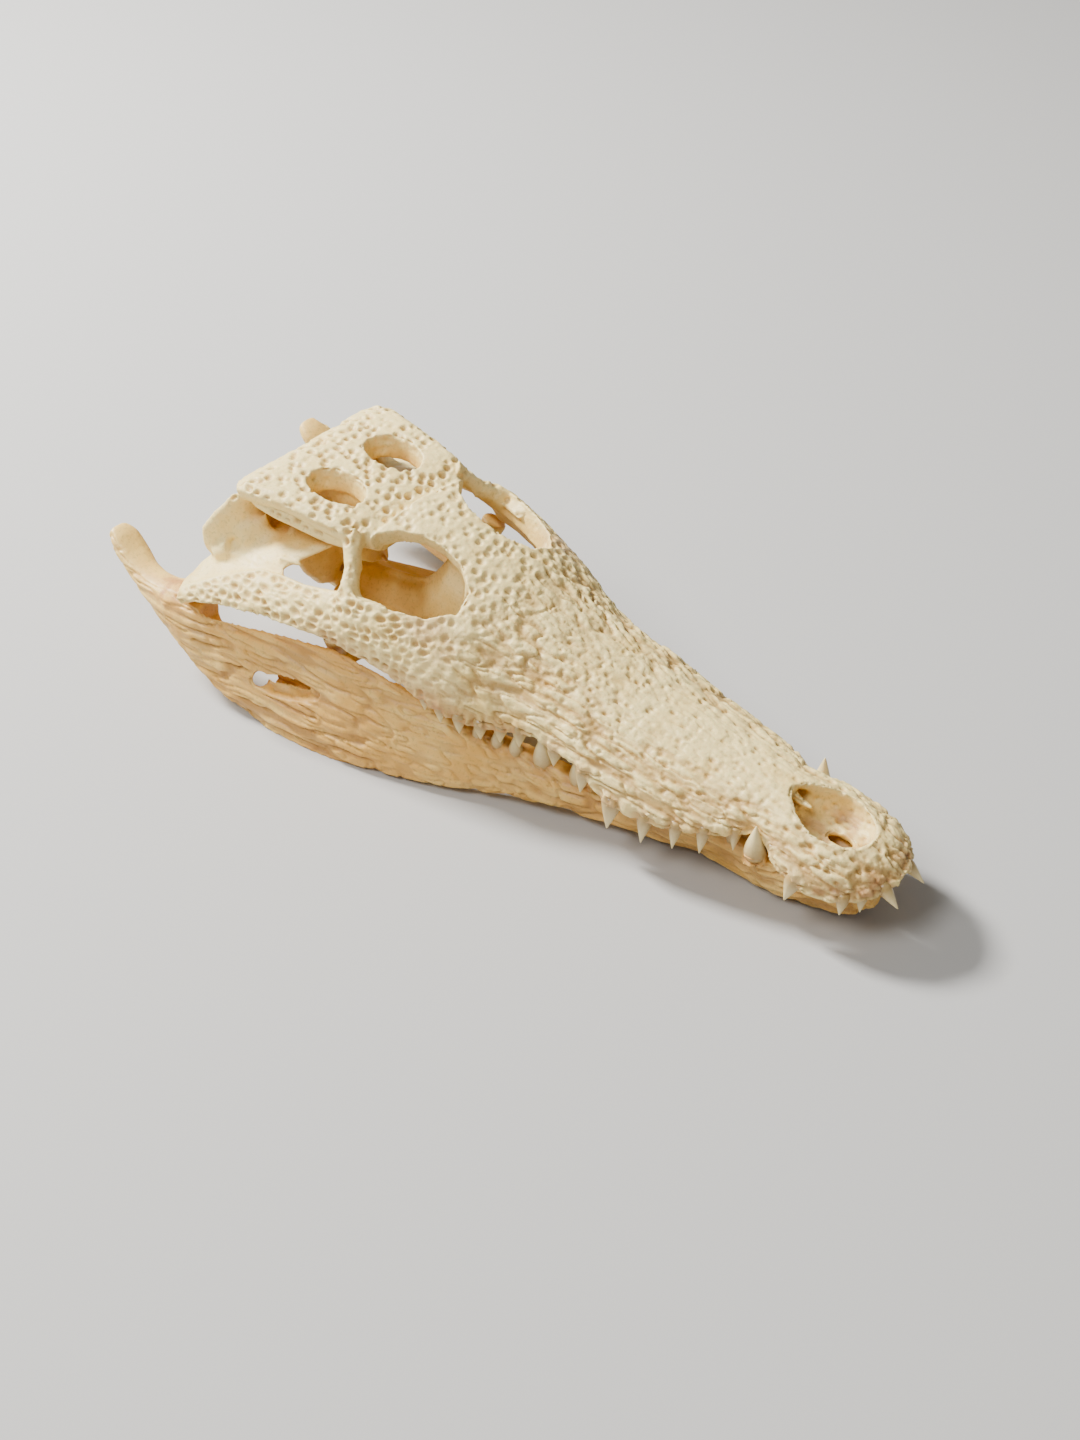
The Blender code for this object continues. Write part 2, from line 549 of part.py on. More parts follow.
def palate_bones():
    """Tube of the nasal passage along the middle, the wings behind it and the struts to the cheeks."""
    tube_rows = (
        # along, half width at the bottom and top, bottom, top
        (50.0, 3.6, 2.0, 13.6, 18.5),
        (44.0, 3.8, 1.2, 12.6, 20.5),
        (36.0, 3.6, 0.9, 12.2, 24.0),
        (30.0, 4.0, 0.8, 11.8, 26.2),
        (26.5, 4.4, 0.8, 11.4, 24.6),
        (24.0, 4.7, 0.8, 11.2, 21.0),
        (21.0, 4.9, 0.9, 11.0, 17.6),
        (14.0, 5.0, 1.6, 10.8, 16.6),
        (8.0, 4.8, 2.6, 10.6, 16.0),
        (2.0, 4.4, 3.2, 11.4, 15.0),
    )
    rings = []
    for (along, wide, narrow, low, high) in tube_rows:
        corners = ((-wide, along, low), (wide, along, low), (narrow, along, high), (-narrow, along, high))
        rings.append([place(*p) for p in rounded_quad(corners, 12, 2.6)])
    tube = loft("palatine_tube", rings)
    choana = ellipsoid("choana", (0, 8.0, 10.4), (1.7, 2.0, 1.5), segments=10, rings=6)
    boolean(tube, [choana], "DIFFERENCE")
    wing_rows = (
        # side, back and front edge, middle height, half thickness
        (1.0, 6.0, 25.0, 13.0, 1.0),
        (5.0, 6.5, 24.0, 12.7, 0.8),
        (7.0, 10.5, 22.5, 12.0, 0.75),
        (9.0, 13.6, 20.5, 11.0, 0.75),
        (11.0, 13.8, 18.6, 9.7, 0.8),
        (12.6, 13.8, 17.2, 8.7, 0.9),
        (13.4, 14.4, 16.2, 8.3, 0.7),
    )
    rings = []
    for (side, back, front, height, thick) in wing_rows:
        (low, high) = (height - thick, height + thick)
        corners = ((side, back, low), (side, front, low), (side, front, high), (side, back, high))
        ring = rounded_quad(corners, 12, 3.6)
        rings.append([place(*p) for p in ring])
    wing = loft("pterygoid_wing", rings)
    strut_out = strut("ectopterygoid", (
        (11.6, 14.6, 9.7, 1.3), (13.7, 16.2, 11.8, 1.4), (15.6, 18.0, 15.2, 1.7),
        (16.9, 19.4, 19.0, 2.1)), 8)
    pillar = strut("prefrontal_pillar", (
        (2.0, 29.5, 15.6, 1.3), (2.7, 31.0, 19.0, 0.8), (3.6, 33.0, 23.0, 0.9), (4.4, 35.0, 27.0, 1.5)), 8)
    wall_rows = (
        # side, back and front, bottom, top
        (3.0, 1.0, 7.0, 12.2, 27.0),
        (6.0, 2.6, 6.0, 13.4, 27.0),
        (8.4, 3.4, 5.8, 16.6, 26.4),
        (10.4, 4.0, 5.8, 20.6, 25.6),
    )
    rings = [
        [place(*p) for p in rounded_quad(
            ((side, back, low), (side, front, low), (side, front, high), (side, back, high)), 10, 4.0)]
        for (side, back, front, low, high) in wall_rows
    ]
    side_wing = loft("pterygoid_wall", rings)
    wall_rows = (
        # side, back and front, bottom, top
        (2.4, 15.2, 16.4, 21.0, 30.4),
        (6.0, 15.8, 17.0, 22.5, 30.4),
        (9.6, 16.6, 18.2, 25.4, 30.2),
    )
    rings = [
        [place(*p) for p in rounded_quad(
            ((side, back, low), (side, front, low), (side, front, high), (side, back, high)), 10, 4.0)]
        for (side, back, front, low, high) in wall_rows
    ]
    front_wall = loft("front_wall", rings)
    bar = strut("postorbital_bar", (
        (9.8, 17.7, 30.4, 1.9), (11.5, 18.8, 28.6, 1.35), (12.9, 19.9, 27.0, 1.15), (14.4, 20.9, 25.5, 1.3),
        (16.4, 22.2, 23.4, 2.1)), 8)
    paired = (wing, strut_out, pillar, side_wing, front_wall, bar)
    return [tube] + [side for piece in paired for side in both(piece)]


def tooth(name, root, lean_out, lean_on, length, thick, down):
    """A cone that curves a little inwards, its root sunk in the jaw."""
    way = Vector((math.tan(math.radians(lean_out)), math.tan(math.radians(lean_on)), -1.0 if down else 1.0))
    way.normalize()
    bend = Vector((-0.06 * length if root[0] > 0 else 0.06 * length, 0, 0))
    rings = []
    for (reach, width) in ((-1.3, 0.42), (0.0, 0.5), (0.55, 0.34), (1.0, 0.05)):
        distance = reach * length if reach > 0 else reach
        middle = Vector(root) + way * distance + bend * max(reach, 0.0) ** 2
        radius = thick * width
        rings.append([
            place(middle.x + radius * math.cos(turn), middle.y + radius * math.sin(turn), middle.z)
            for turn in (2 * math.pi * k / TOOTH_SIDES for k in range(TOOTH_SIDES))
        ])
    return loft(name, rings)


def upper_crowns(side, chance):
    """Root, lean outwards and forwards, length and thickness of each upper tooth of one side."""
    crowns = []
    for (along, length, thick, out, on) in UPPER_TEETH:
        (half_width, margin, _, _) = snout_at(along)
        reach = half_width - RIDGE_WIDTH * 0.42 - 0.1 if along < 97.5 else half_width * 0.8 - 0.7
        length *= 1 + chance.uniform(-TOOTH_VARIETY, TOOTH_VARIETY)
        crowns.append(((side * reach, along, margin), side * out, on, length, thick))
    return crowns


def lower_crowns(side, chance):
    """The same for the lower teeth of one side."""
    crowns = []
    for (k, (along, length, thick, out, on)) in enumerate(LOWER_TEETH):
        (_, outer, top, _, _, _) = eased(RAMUS, along)
        length *= 1 + chance.uniform(-TOOTH_VARIETY, TOOTH_VARIETY)
        if k == LARGEST_LOWER and side > 0:
            length *= WORN
        root = (side * (outer - thick * 0.5 - 0.35), along, top - 0.35)
        crowns.append((root, side * out, on, length, thick))
    return crowns


def teeth(crowns, down, room=0.0):
    """Bodies of the crowns, or with some room around them, for the pits that receive them."""
    return [
        tooth(f"tooth_{k}", root, out, on, length + room, thick + 2 * room, down)
        for (k, (root, out, on, length, thick)) in enumerate(crowns)
    ]


def trough():
    """The hollow on the inner side of a ramus, behind its teeth."""
    rings = []
    for (along, floor) in TROUGH:
        (_, out_top, top, _, out_low, low) = eased(RAMUS, along)

        def wall(height):
            return out_low + (out_top - out_low) * (height - low) / (top - low) - TROUGH_WALL

        (outer_low, outer_high) = (wall(floor), wall(20.0))
        corners = ((12, along, floor), (outer_low, along, floor), (outer_high, along, 20), (12, along, 20))
        rings.append([place(*p) for p in rounded_quad(corners, 16, 5.0)])
    return loft("trough", rings)


def below_the_table():
    """What a ramus loses underneath, so that it rests on flats."""
    corners = ((0, -9), (30, -9), (30, 0), (0, 0))
    return loft("below", [[place(x, along, z) for (x, z) in corners] for along in (-40, 110)])


def ramus():
    """Right half of the lower jaw, from the symphysis back to the retroarticular process."""
    places = [98.2, 97.4, 96.4, 95.0]
    while places[-1] > -24.0:
        places.append(max(-24.0, places[-1] - 2.6))
    rings = []
    for along in places:
        (in_top, out_top, top, in_low, out_low, low) = eased(RAMUS, along)
        corners = ((in_low, along, low), (out_low, along, low), (out_top, along, top), (in_top, along, top))
        rings.append([place(*p) for p in rounded_quad(corners, RAMUS_SIDES, 2.9)])
    jaw = loft("mandible_right", rings)
    window = ellipsoid(
        "jaw_fenestra", (25.6, JAW_FENESTRA["along"], JAW_FENESTRA["height"]),
        (6.2, JAW_FENESTRA["half_length"], JAW_FENESTRA["half_height"]), (-JAW_FENESTRA["tilt"], 0, 0),
    )
    socket = ellipsoid(
        "joint_socket", JOINT["centre"], tuple(r + JOINT_ROOM / PART for r in JOINT["radii"]),
        JOINT["turn"], 10, 6,
    )
    foramen = strut("lower_foramen", INNER_FORAMEN, 10)
    boolean(jaw, [trough(), socket, below_the_table()], "DIFFERENCE")
    boolean(jaw, [window], "DIFFERENCE")
    return boolean(jaw, [foramen], "DIFFERENCE")


def painted(name, looks):
    material = bpy.data.materials.new(name)
    material.use_nodes = True
    shader = material.node_tree.nodes["Principled BSDF"]
    shader.inputs["Base Color"].default_value = looks["colour"]
    shader.inputs["Roughness"].default_value = looks["roughness"]
    shader.inputs["Metallic"].default_value = 0.0
    return material


def finish(obj, material):
    largest_shell(obj)
    obj.data.materials.clear()
    obj.data.materials.append(material)
    obj.data.shade_smooth()
    obj.data.set_sharp_from_angle(angle=math.radians(40))


def main():
    for old in list(bpy.data.objects):
        bpy.data.objects.remove(old)
    chance = random.Random(TOOTH_SEED)
    upper = [upper_crowns(side, chance) for side in (1, -1)]
    lower = [lower_crowns(side, chance) for side in (1, -1)]
    room = PIT_ROOM / PART

    cranium = boolean(snout_and_cheeks(), [hollow_under_the_roof()], "DIFFERENCE")
    cut_snout(boolean(cranium, [skull_table()], "UNION"))
    boolean(cranium, teeth(lower[0] + lower[1], False, room), "DIFFERENCE")
    pieces = braincase() + palate_bones() + both(cheek_bar())
    for piece in quadrate():
        pieces += both(piece)
    boolean(cranium, pieces + teeth(upper[0] + upper[1], True), "UNION")

    right = ramus()
    left = mirrored(right)
    left.name = "mandible_left"
    for (jaw, above, own) in ((right, upper[0], lower[0]), (left, upper[1], lower[1])):
        boolean(jaw, teeth(above, True, room), "DIFFERENCE")
        boolean(jaw, teeth(own, False), "UNION")
    finish(cranium, painted("cranium_bone", BONE))
    jaw_material = painted("jaw_bone", JAW_BONE)
    finish(right, jaw_material)
    finish(left, jaw_material)


main()
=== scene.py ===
# A young crocodile's skull in dry, cleaned bone: jaws shut, resting on its lower jaw.
import math
import random

import bmesh
import bpy
import numpy as np
from mathutils import Matrix, Vector
from mathutils.bvhtree import BVHTree


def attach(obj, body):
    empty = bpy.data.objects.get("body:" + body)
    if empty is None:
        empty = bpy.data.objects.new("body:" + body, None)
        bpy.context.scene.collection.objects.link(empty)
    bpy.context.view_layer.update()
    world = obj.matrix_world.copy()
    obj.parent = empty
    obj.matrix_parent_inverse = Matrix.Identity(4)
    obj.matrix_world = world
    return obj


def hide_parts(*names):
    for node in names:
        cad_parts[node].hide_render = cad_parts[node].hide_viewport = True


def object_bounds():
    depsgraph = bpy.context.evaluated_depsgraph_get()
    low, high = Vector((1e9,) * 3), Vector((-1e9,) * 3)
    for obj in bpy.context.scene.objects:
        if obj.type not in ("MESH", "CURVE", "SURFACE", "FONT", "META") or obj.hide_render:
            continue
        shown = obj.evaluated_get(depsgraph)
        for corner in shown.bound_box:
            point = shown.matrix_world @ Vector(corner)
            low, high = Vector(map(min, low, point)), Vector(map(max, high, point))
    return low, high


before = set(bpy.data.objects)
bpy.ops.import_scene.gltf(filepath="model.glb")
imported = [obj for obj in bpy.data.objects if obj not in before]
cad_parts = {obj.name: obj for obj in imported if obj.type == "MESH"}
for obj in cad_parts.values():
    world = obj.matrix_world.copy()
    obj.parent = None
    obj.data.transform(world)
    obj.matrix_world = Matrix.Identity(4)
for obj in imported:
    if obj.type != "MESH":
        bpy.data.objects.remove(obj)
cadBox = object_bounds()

# Places are given as anatomists do, in hundredths of the dorsal length (220 mm): side from the middle,
# along from the back of the skull table to the snout, and height above the table it rests on.
grid = {"part": 0.0022, "backOfTable": -0.08603}     # metres


def place(side, along, height):
    return Vector((side * grid["part"], along * grid["part"] + grid["backOfTable"], height * grid["part"]))


def smooth(low, high, values):
    # 0 at low and beyond, 1 at high and beyond, with an even curve between them
    t = np.clip((values - low) / (high - low), 0.0, 1.0)
    return t * t * (3 - 2 * t)


# camera, floor and light
cameraSetting = {
    "standsAt": (140.177, 161.674, 160.961),   # side, along, height
    "turn": 2.2773482, "lift": 0.70784975, "roll": -0.01395614,   # radians
    "lens": 42.5, "sensor": 36.0,              # mm
    "nearest": 0.01,                           # metres
}
# watts and metres: a small strong lamp for crisp shadows in the pits, and a broad weak one beside it
light = {
    "keyPower": 62.0, "keySize": 0.26, "keyFrom": (0.12, -1.10, 1.00),
    "fillPower": 12.0, "fillSize": 0.5, "fillFrom": (0.75, -0.25, 1.15),
    "aimedAt": (0, 0, 0.03),
    "skyColour": "#e9e8e6", "skyStrength": 0.34,
    "floorColour": "#b9b7b3", "floorRoughness": 0.9, "floorSize": 3.0,
}


def hexColour(text, alpha=1.0):
    parts = [int(text[k:k + 2], 16) / 255 for k in (1, 3, 5)]
    return tuple(c / 12.92 if c <= 0.04045 else ((c + 0.055) / 1.055) ** 2.4 for c in parts) + (alpha,)


def addNode(tree, kind, settings=None, inputs=None, links=None):
    node = tree.nodes.new(kind)
    for (name, value) in (settings or {}).items():
        setattr(node, name, value)
    for (name, value) in (inputs or {}).items():
        node.inputs[name].default_value = value
    for (name, source) in (links or {}).items():
        tree.links.new(source, node.inputs[name])
    return node


def addCamera():
    c = cameraSetting
    back = Vector((math.sin(c["turn"]) * math.cos(c["lift"]), -math.cos(c["turn"]) * math.cos(c["lift"]),
                   math.sin(c["lift"])))
    level = Vector((0, 0, 1)).cross(back).normalized()
    raised = back.cross(level)
    (cosRoll, sinRoll) = (math.cos(c["roll"]), math.sin(c["roll"]))
    right = cosRoll * level + sinRoll * raised
    up = -sinRoll * level + cosRoll * raised
    camera = bpy.data.objects.new("camera", bpy.data.cameras.new("camera"))
    camera.data.lens = c["lens"]
    camera.data.sensor_width = c["sensor"]
    camera.data.sensor_fit = "AUTO"
    camera.data.clip_start = c["nearest"]
    turned = Matrix((right, up, back)).transposed().to_4x4()
    camera.matrix_world = Matrix.Translation(place(*c["standsAt"])) @ turned
    bpy.context.scene.collection.objects.link(camera)
    bpy.context.scene.camera = camera


def addLamp(name, power, size, origin):
    lamp = bpy.data.lights.new(name, "AREA")
    lamp.energy = power
    lamp.size = size
    holder = bpy.data.objects.new(name, lamp)
    holder.location = origin
    holder.rotation_euler = (Vector(light["aimedAt"]) - Vector(origin)).to_track_quat("-Z", "Y").to_euler()
    bpy.context.scene.collection.objects.link(holder)


def addStage():
    mesh = bmesh.new()
    bmesh.ops.create_grid(mesh, x_segments=1, y_segments=1, size=light["floorSize"])
    floor = bpy.data.objects.new("floor", bpy.data.meshes.new("floor"))
    mesh.to_mesh(floor.data)
    mesh.free()
    bpy.context.scene.collection.objects.link(floor)
    # matte paper: pale, even and without gloss
    material = bpy.data.materials.new("mattePaperFloor")
    material.use_nodes = True
    shader = material.node_tree.nodes["Principled BSDF"]
    shader.inputs["Base Color"].default_value = hexColour(light["floorColour"])
    shader.inputs["Roughness"].default_value = light["floorRoughness"]
    floor.data.materials.append(material)
    addLamp("keyLight", light["keyPower"], light["keySize"], light["keyFrom"])
    addLamp("fillLight", light["fillPower"], light["fillSize"], light["fillFrom"])
    world = bpy.data.worlds.new("studio")
    world.use_nodes = True
    world.node_tree.nodes["Background"].inputs["Color"].default_value = hexColour(light["skyColour"])
    world.node_tree.nodes["Background"].inputs["Strength"].default_value = light["skyStrength"]
    bpy.context.scene.world = world


# noise: points are given in cells, and the salt picks the pattern
def hashed(cells, salt):
    # a number from 0 to 1 that looks random, but is the same for the same cell and salt
    n = cells[:, 0] * 73856093 ^ cells[:, 1] * 19349663 ^ cells[:, 2] * 83492791 ^ (salt * 40503 + 12345)
    n &= 0xFFFFFFFF
    n = ((n ^ (n >> 15)) * 739982445) & 0xFFFFFFFF
    n = ((n ^ (n >> 12)) * 695872825) & 0xFFFFFFFF
    return ((n ^ (n >> 15)) & 0xFFFFFF) / 0xFFFFFF


def softNoise(points, salt):
    # smooth noise from -1 to 1
    base = np.floor(points).astype(np.int64)
    t = points - base
    t = t * t * t * (t * (t * 6 - 15) + 10)
    total = np.zeros(len(points))
    for corner in ((x, y, z) for x in (0, 1) for y in (0, 1) for z in (0, 1)):
        weight = np.ones(len(points))
        for k in range(3):
            weight *= t[:, k] if corner[k] else 1 - t[:, k]
        total += weight * hashed(base + corner, salt)
    return total * 2 - 1


def layeredNoise(points, salt):
    # three noises, each half as large and half as strong as the one before; 1.75 is their whole strength
    return sum(softNoise(points * 2 ** k + 17.3 * k, salt + k) * 0.5 ** k for k in range(3)) / 1.75


def cellPattern(points, salt):
    # distance to the nearest and the second nearest of scattered centres, and a number for each cell
    base = np.floor(points).astype(np.int64)
    nearest = np.full(len(points), 9.0)
    second = nearest.copy()
    own = np.zeros(len(points))
    for step in ((x, y, z) for x in (-1, 0, 1) for y in (-1, 0, 1) for z in (-1, 0, 1)):
        cell = base + step
        centre = cell + 0.12 + 0.76 * np.column_stack([hashed(cell, salt + k) for k in range(3)])
        distance = np.sqrt(((points - centre) ** 2).sum(axis=1))
        closer = distance < nearest
        second = np.where(closer, nearest, np.minimum(second, distance))
        own = np.where(closer, hashed(cell, salt + 5), own)
        nearest = np.where(closer, distance, nearest)
    return nearest, second, own


def creases(points, salt, width=0.42):
    # 1 in the winding grooves between the ridges, 0 on their crests
    return smooth(width, 0.0, np.abs(softNoise(points, salt)))


# teeth
# along, length of the crown, thickness at its base, lean outwards and forwards in degrees
upperToothRows = (
    (99.7, 3.0, 1.7, 14, 52), (97.7, 3.0, 1.6, 14, 6), (96.2, 2.6, 1.6, 14, 2), (90.0, 3.9, 2.3, 18, -10),
    (85.9, 1.9, 1.2, 6, 0), (80.6, 3.4, 1.5, 4, -2), (76.9, 4.0, 1.8, 8, -4), (73.4, 4.0, 1.8, 8, -4),
    (69.2, 4.4, 2.1, 9, -4), (64.3, 5.2, 2.7, 10, -5), (59.5, 4.4, 2.3, 6, -8), (54.5, 3.7, 2.2, 4, -6),
    (48.8, 3.5, 2.1, 3, -4), (46.2, 3.1, 2.0, 3, -4), (43.6, 3.1, 2.0, 2, -4), (40.8, 3.0, 1.9, 2, -4),
    (38.2, 2.6, 1.7, 2, -4), (35.8, 2.2, 1.5, 2, -4),
)
lowerToothRows = (
    (95.8, 1.9, 1.4, 4, 10), (93.4, 1.5, 1.2, 6, 4), (89.6, 1.4, 1.1, 6, 0), (83.7, 4.5, 2.8, 14, -4),
    (79.4, 2.2, 1.5, 4, 0), (75.4, 2.2, 1.5, 4, 0), (71.4, 2.2, 1.5, 4, 0), (66.8, 2.4, 1.6, 4, 0),
    (62.0, 3.0, 1.9, 5, 0), (56.9, 4.7, 2.8, 9, 0), (51.3, 4.5, 2.8, 9, 0), (47.5, 2.9, 1.9, 4, 0),
    (44.9, 2.6, 1.8, 3, 0), (42.2, 2.4, 1.7, 2, 0), (39.5, 2.0, 1.5, 2, 0),
)
# along, half width, tooth margin, roof of the snout
snoutRows = (
    (100.9, 8.3, 8.6, 10.8), (98.5, 8.5, 8.1, 12.2), (95.0, 8.9, 7.9, 13.2), (91.5, 9.2, 8.3, 14.0),
    (87.5, 8.8, 9.4, 14.6), (83.6, 7.1, 11.4, 15.0), (80.0, 8.9, 10.4, 15.3), (75.0, 10.8, 9.5, 15.8),
    (69.5, 12.2, 8.9, 16.6), (64.5, 12.9, 9.4, 17.5), (59.5, 12.7, 12.0, 18.6), (56.8, 12.6, 13.4, 19.4),
    (54.5, 12.6, 12.9, 20.1), (51.2, 12.7, 14.0, 21.2), (48.5, 13.2, 13.2, 22.2), (44.0, 15.0, 12.8, 24.0),
    (38.0, 17.2, 14.0, 26.6), (32.0, 18.1, 16.4, 28.8), (27.0, 18.9, 18.0, 30.4),
)
# along, outer side and height of the upper edge of the lower jaw
jawRows = (
    (98.2, 3.0, 7.0), (96.4, 4.7, 7.9), (93.0, 6.3, 8.1), (89.5, 7.1, 8.4), (86.4, 8.4, 8.9),
    (84.2, 9.4, 9.4), (81.2, 7.4, 8.9), (77.0, 7.5, 8.3), (70.5, 8.9, 8.1), (63.0, 9.9, 7.3),
    (56.0, 11.3, 7.8), (50.0, 12.2, 8.6), (44.0, 13.8, 9.6), (38.0, 15.5, 11.1), (32.0, 16.9, 13.1),
)
# where the snout closes towards its tip: along, its length, and how round it is
snoutTip = {"starts": 91.9, "length": 9.0, "roundness": 2.1}
crown = {
    "swell": 1.14,             # against the solid, so that the crown covers it
    "varyLength": 0.07, "seed": 4,
    "inset": 1.066,            # of the upper teeth from the side of the snout, in parts
    "front": 97.5, "frontShare": 0.8, "frontInset": 0.7,    # the teeth at the tip stand further in
    "jawInset": 0.35,
    "wornRow": 3, "worn": 0.86, "wornLean": 0.0,            # the right jaw's large tooth, which is worn down
    "sides": 20, "curve": 0.06, "rootLength": 3, "turned": 0.3,
    "edgeRise": 0.07, "edgeSharpness": 14, "flatness": 0.95,    # two fine cutting edges, a flatter inner face
    # reach from the gum to the tip, half thickness
    "outline": ((-0.30, 0.42), (-0.12, 0.47), (0.0, 0.48), (0.12, 0.45), (0.28, 0.385), (0.45, 0.30),
                (0.6, 0.225), (0.74, 0.155), (0.85, 0.10), (0.93, 0.06), (0.98, 0.03), (1.0, 0.008)),
}


def eased(rows, at):
    # smooth curve through the rows, which never swings past them
    rows = sorted(rows)
    at = min(max(at, rows[0][0]), rows[-1][0])
    i = max(k for k in range(len(rows) - 1) if rows[k][0] <= at)
    (low, high) = (rows[i], rows[i + 1])
    span = high[0] - low[0]
    t = (at - low[0]) / span
    values = []
    for column in range(1, len(low)):
        def slope(k):
            if k in (0, len(rows) - 1):
                return 0.0
            before = (rows[k][column] - rows[k - 1][column]) / (rows[k][0] - rows[k - 1][0])
            after = (rows[k + 1][column] - rows[k][column]) / (rows[k + 1][0] - rows[k][0])
            return 0.0 if before * after <= 0 else 2 * before * after / (before + after)
        (a, b, ma, mb) = (low[column], high[column], slope(i) * span, slope(i + 1) * span)
        values.append((2 * t**3 - 3 * t**2 + 1) * a + (t**3 - 2 * t**2 + t) * ma
                      + (3 * t**2 - 2 * t**3) * b + (t**3 - t**2) * mb)
    return values


def snoutAt(along):
    # half width and height of the tooth margin
    (halfWidth, margin, roof) = eased(snoutRows, along)
    past = max(0.0, (along - snoutTip["starts"]) / snoutTip["length"])
    closing = math.sqrt(max(0.0, 1 - past**snoutTip["roundness"]))
    middle = 0.45 * margin + 0.55 * roof
    return halfWidth * closing, middle + (margin - middle) * closing**0.5


def listTeeth():
    # root, direction, length and thickness of each crown, in parts
    chance = random.Random(crown["seed"])
    teeth = {"upper": [], "lowerRight": [], "lowerLeft": []}
    for (upper, side) in ((True, 1), (True, -1), (False, 1), (False, -1)):
        for (k, (along, length, thick, out, on)) in enumerate(upperToothRows if upper else lowerToothRows):
            length *= 1 + chance.uniform(-crown["varyLength"], crown["varyLength"])
            if upper:
                (halfWidth, margin) = snoutAt(along)
                reach = halfWidth - crown["inset"]
                if along >= crown["front"]:
                    reach = halfWidth * crown["frontShare"] - crown["frontInset"]
                root = Vector((side * reach, along, margin))
            else:
                (outer, top) = eased(jawRows, along)
                if k == crown["wornRow"] and side > 0:
                    (length, out) = (length * crown["worn"], crown["wornLean"])
                inset = crown["jawInset"]
                root = Vector((side * (outer - thick * 0.5 - inset), along, top - inset))
            (outwards, forwards) = (math.tan(math.radians(side * out)), math.tan(math.radians(on)))
            way = Vector((outwards, forwards, -1.0 if upper else 1.0))
            name = "upper" if upper else ("lowerRight" if side > 0 else "lowerLeft")
            teeth[name].append((root, way.normalized(), length, thick))
    return teeth


def addTeeth(name, rows):
    mesh = bmesh.new()
    layer = mesh.verts.layers.float_color.new("toothMarks")
    chance = random.Random(len(name))
    for (root, way, length, thick) in rows:
        bend = Vector((-crown["curve"] * length * (1 if root.x > 0 else -1), 0, 0))
        across = way.cross(Vector((0, 1, 0))).normalized()
        onward = across.cross(way).normalized()
        (turned, shade) = (chance.uniform(-crown["turned"], crown["turned"]), chance.random())
        rings = []
        for (reach, half) in crown["outline"]:
            distance = reach * (length if reach > 0 else crown["rootLength"])
            middle = root + way * distance + bend * max(reach, 0.0) ** 2
            ring = []
            for k in range(crown["sides"]):
                turn = 2 * math.pi * k / crown["sides"]
                edge = abs(math.sin(turn)) ** crown["edgeSharpness"] * (1 - abs(reach - 0.5))
                radius = thick * half * crown["swell"] * (1 + crown["edgeRise"] * edge)
                around = turn + turned * 0.2
                spoke = across * math.cos(around) * crown["flatness"] + onward * math.sin(around)
                vert = mesh.verts.new(place(*(middle + spoke * radius)))
                vert[layer] = (max(0.0, reach), shade, 0.0, 1.0)
                ring.append(vert)
            rings.append(ring)
        for (a, b) in zip(rings[:-1], rings[1:]):
            for k in range(crown["sides"]):
                mesh.faces.new((a[k], a[(k + 1) % len(a)], b[(k + 1) % len(a)], b[k]))
        mesh.faces.new(rings[0])
        mesh.faces.new(rings[-1])
    bmesh.ops.recalc_face_normals(mesh, faces=mesh.faces[:])
    piece = bpy.data.objects.new(name, bpy.data.meshes.new(name))
    mesh.to_mesh(piece.data)
    mesh.free()
    piece.data.shade_smooth()
    bpy.context.scene.collection.objects.link(piece)
    return piece


# bone
bone = {
    "voxel": 0.0005, "quickVoxel": 0.0011,   # metres
    "rounding": 9, "melting": 45,       # passes that round off the facets, and that blend bones into one
    "collar": 0.66, "collarTop": 0.94,  # a socket's collar against its tooth, and its top against its foot
    "collarDepth": 1.5, "collarRise": 0.15,  # in parts
    "barSides": 10,
    "blurring": 24,                     # passes, to find the mean of a point's surroundings
}
# the solid's own crowns, which sink into their sockets: shares of length and thickness, and parts
oldCrown = {"from": 0.3, "to": 1.2, "radius": 0.45, "margin": 0.15, "sunkTo": 0.1}
# rays that find how open each place is, sent from every seventh point and spread to the others
skyRays = {
    "count": 20, "reach": 0.05, "lift": 0.0009,     # metres
    "step": 7, "spread": 14, "goldenTurn": 2.399963, "seed": 11,
}


def weldedMesh(node):
    # the solid's mesh, with the points of neighbouring faces joined
    mesh = bmesh.new()
    mesh.from_mesh(node.data)
    bmesh.ops.remove_doubles(mesh, verts=mesh.verts[:], dist=1e-6)
    return mesh


def drawBackTeeth(mesh, rows):
    # the solid's own crowns sink into their sockets, where the finished crowns stand
    for (root, way, length, thick) in rows:
        for vert in mesh.verts:
            at = Vector((vert.co.x / grid["part"], (vert.co.y - grid["backOfTable"]) / grid["part"],
                         vert.co.z / grid["part"])) - root
            reach = at.dot(way)
            radius = oldCrown["radius"] * thick + oldCrown["margin"]
            beside = oldCrown["from"] * length < reach < oldCrown["to"] * length
            if beside and (at - way * reach).length < radius:
                vert.co = place(*(root + way * oldCrown["sunkTo"]))


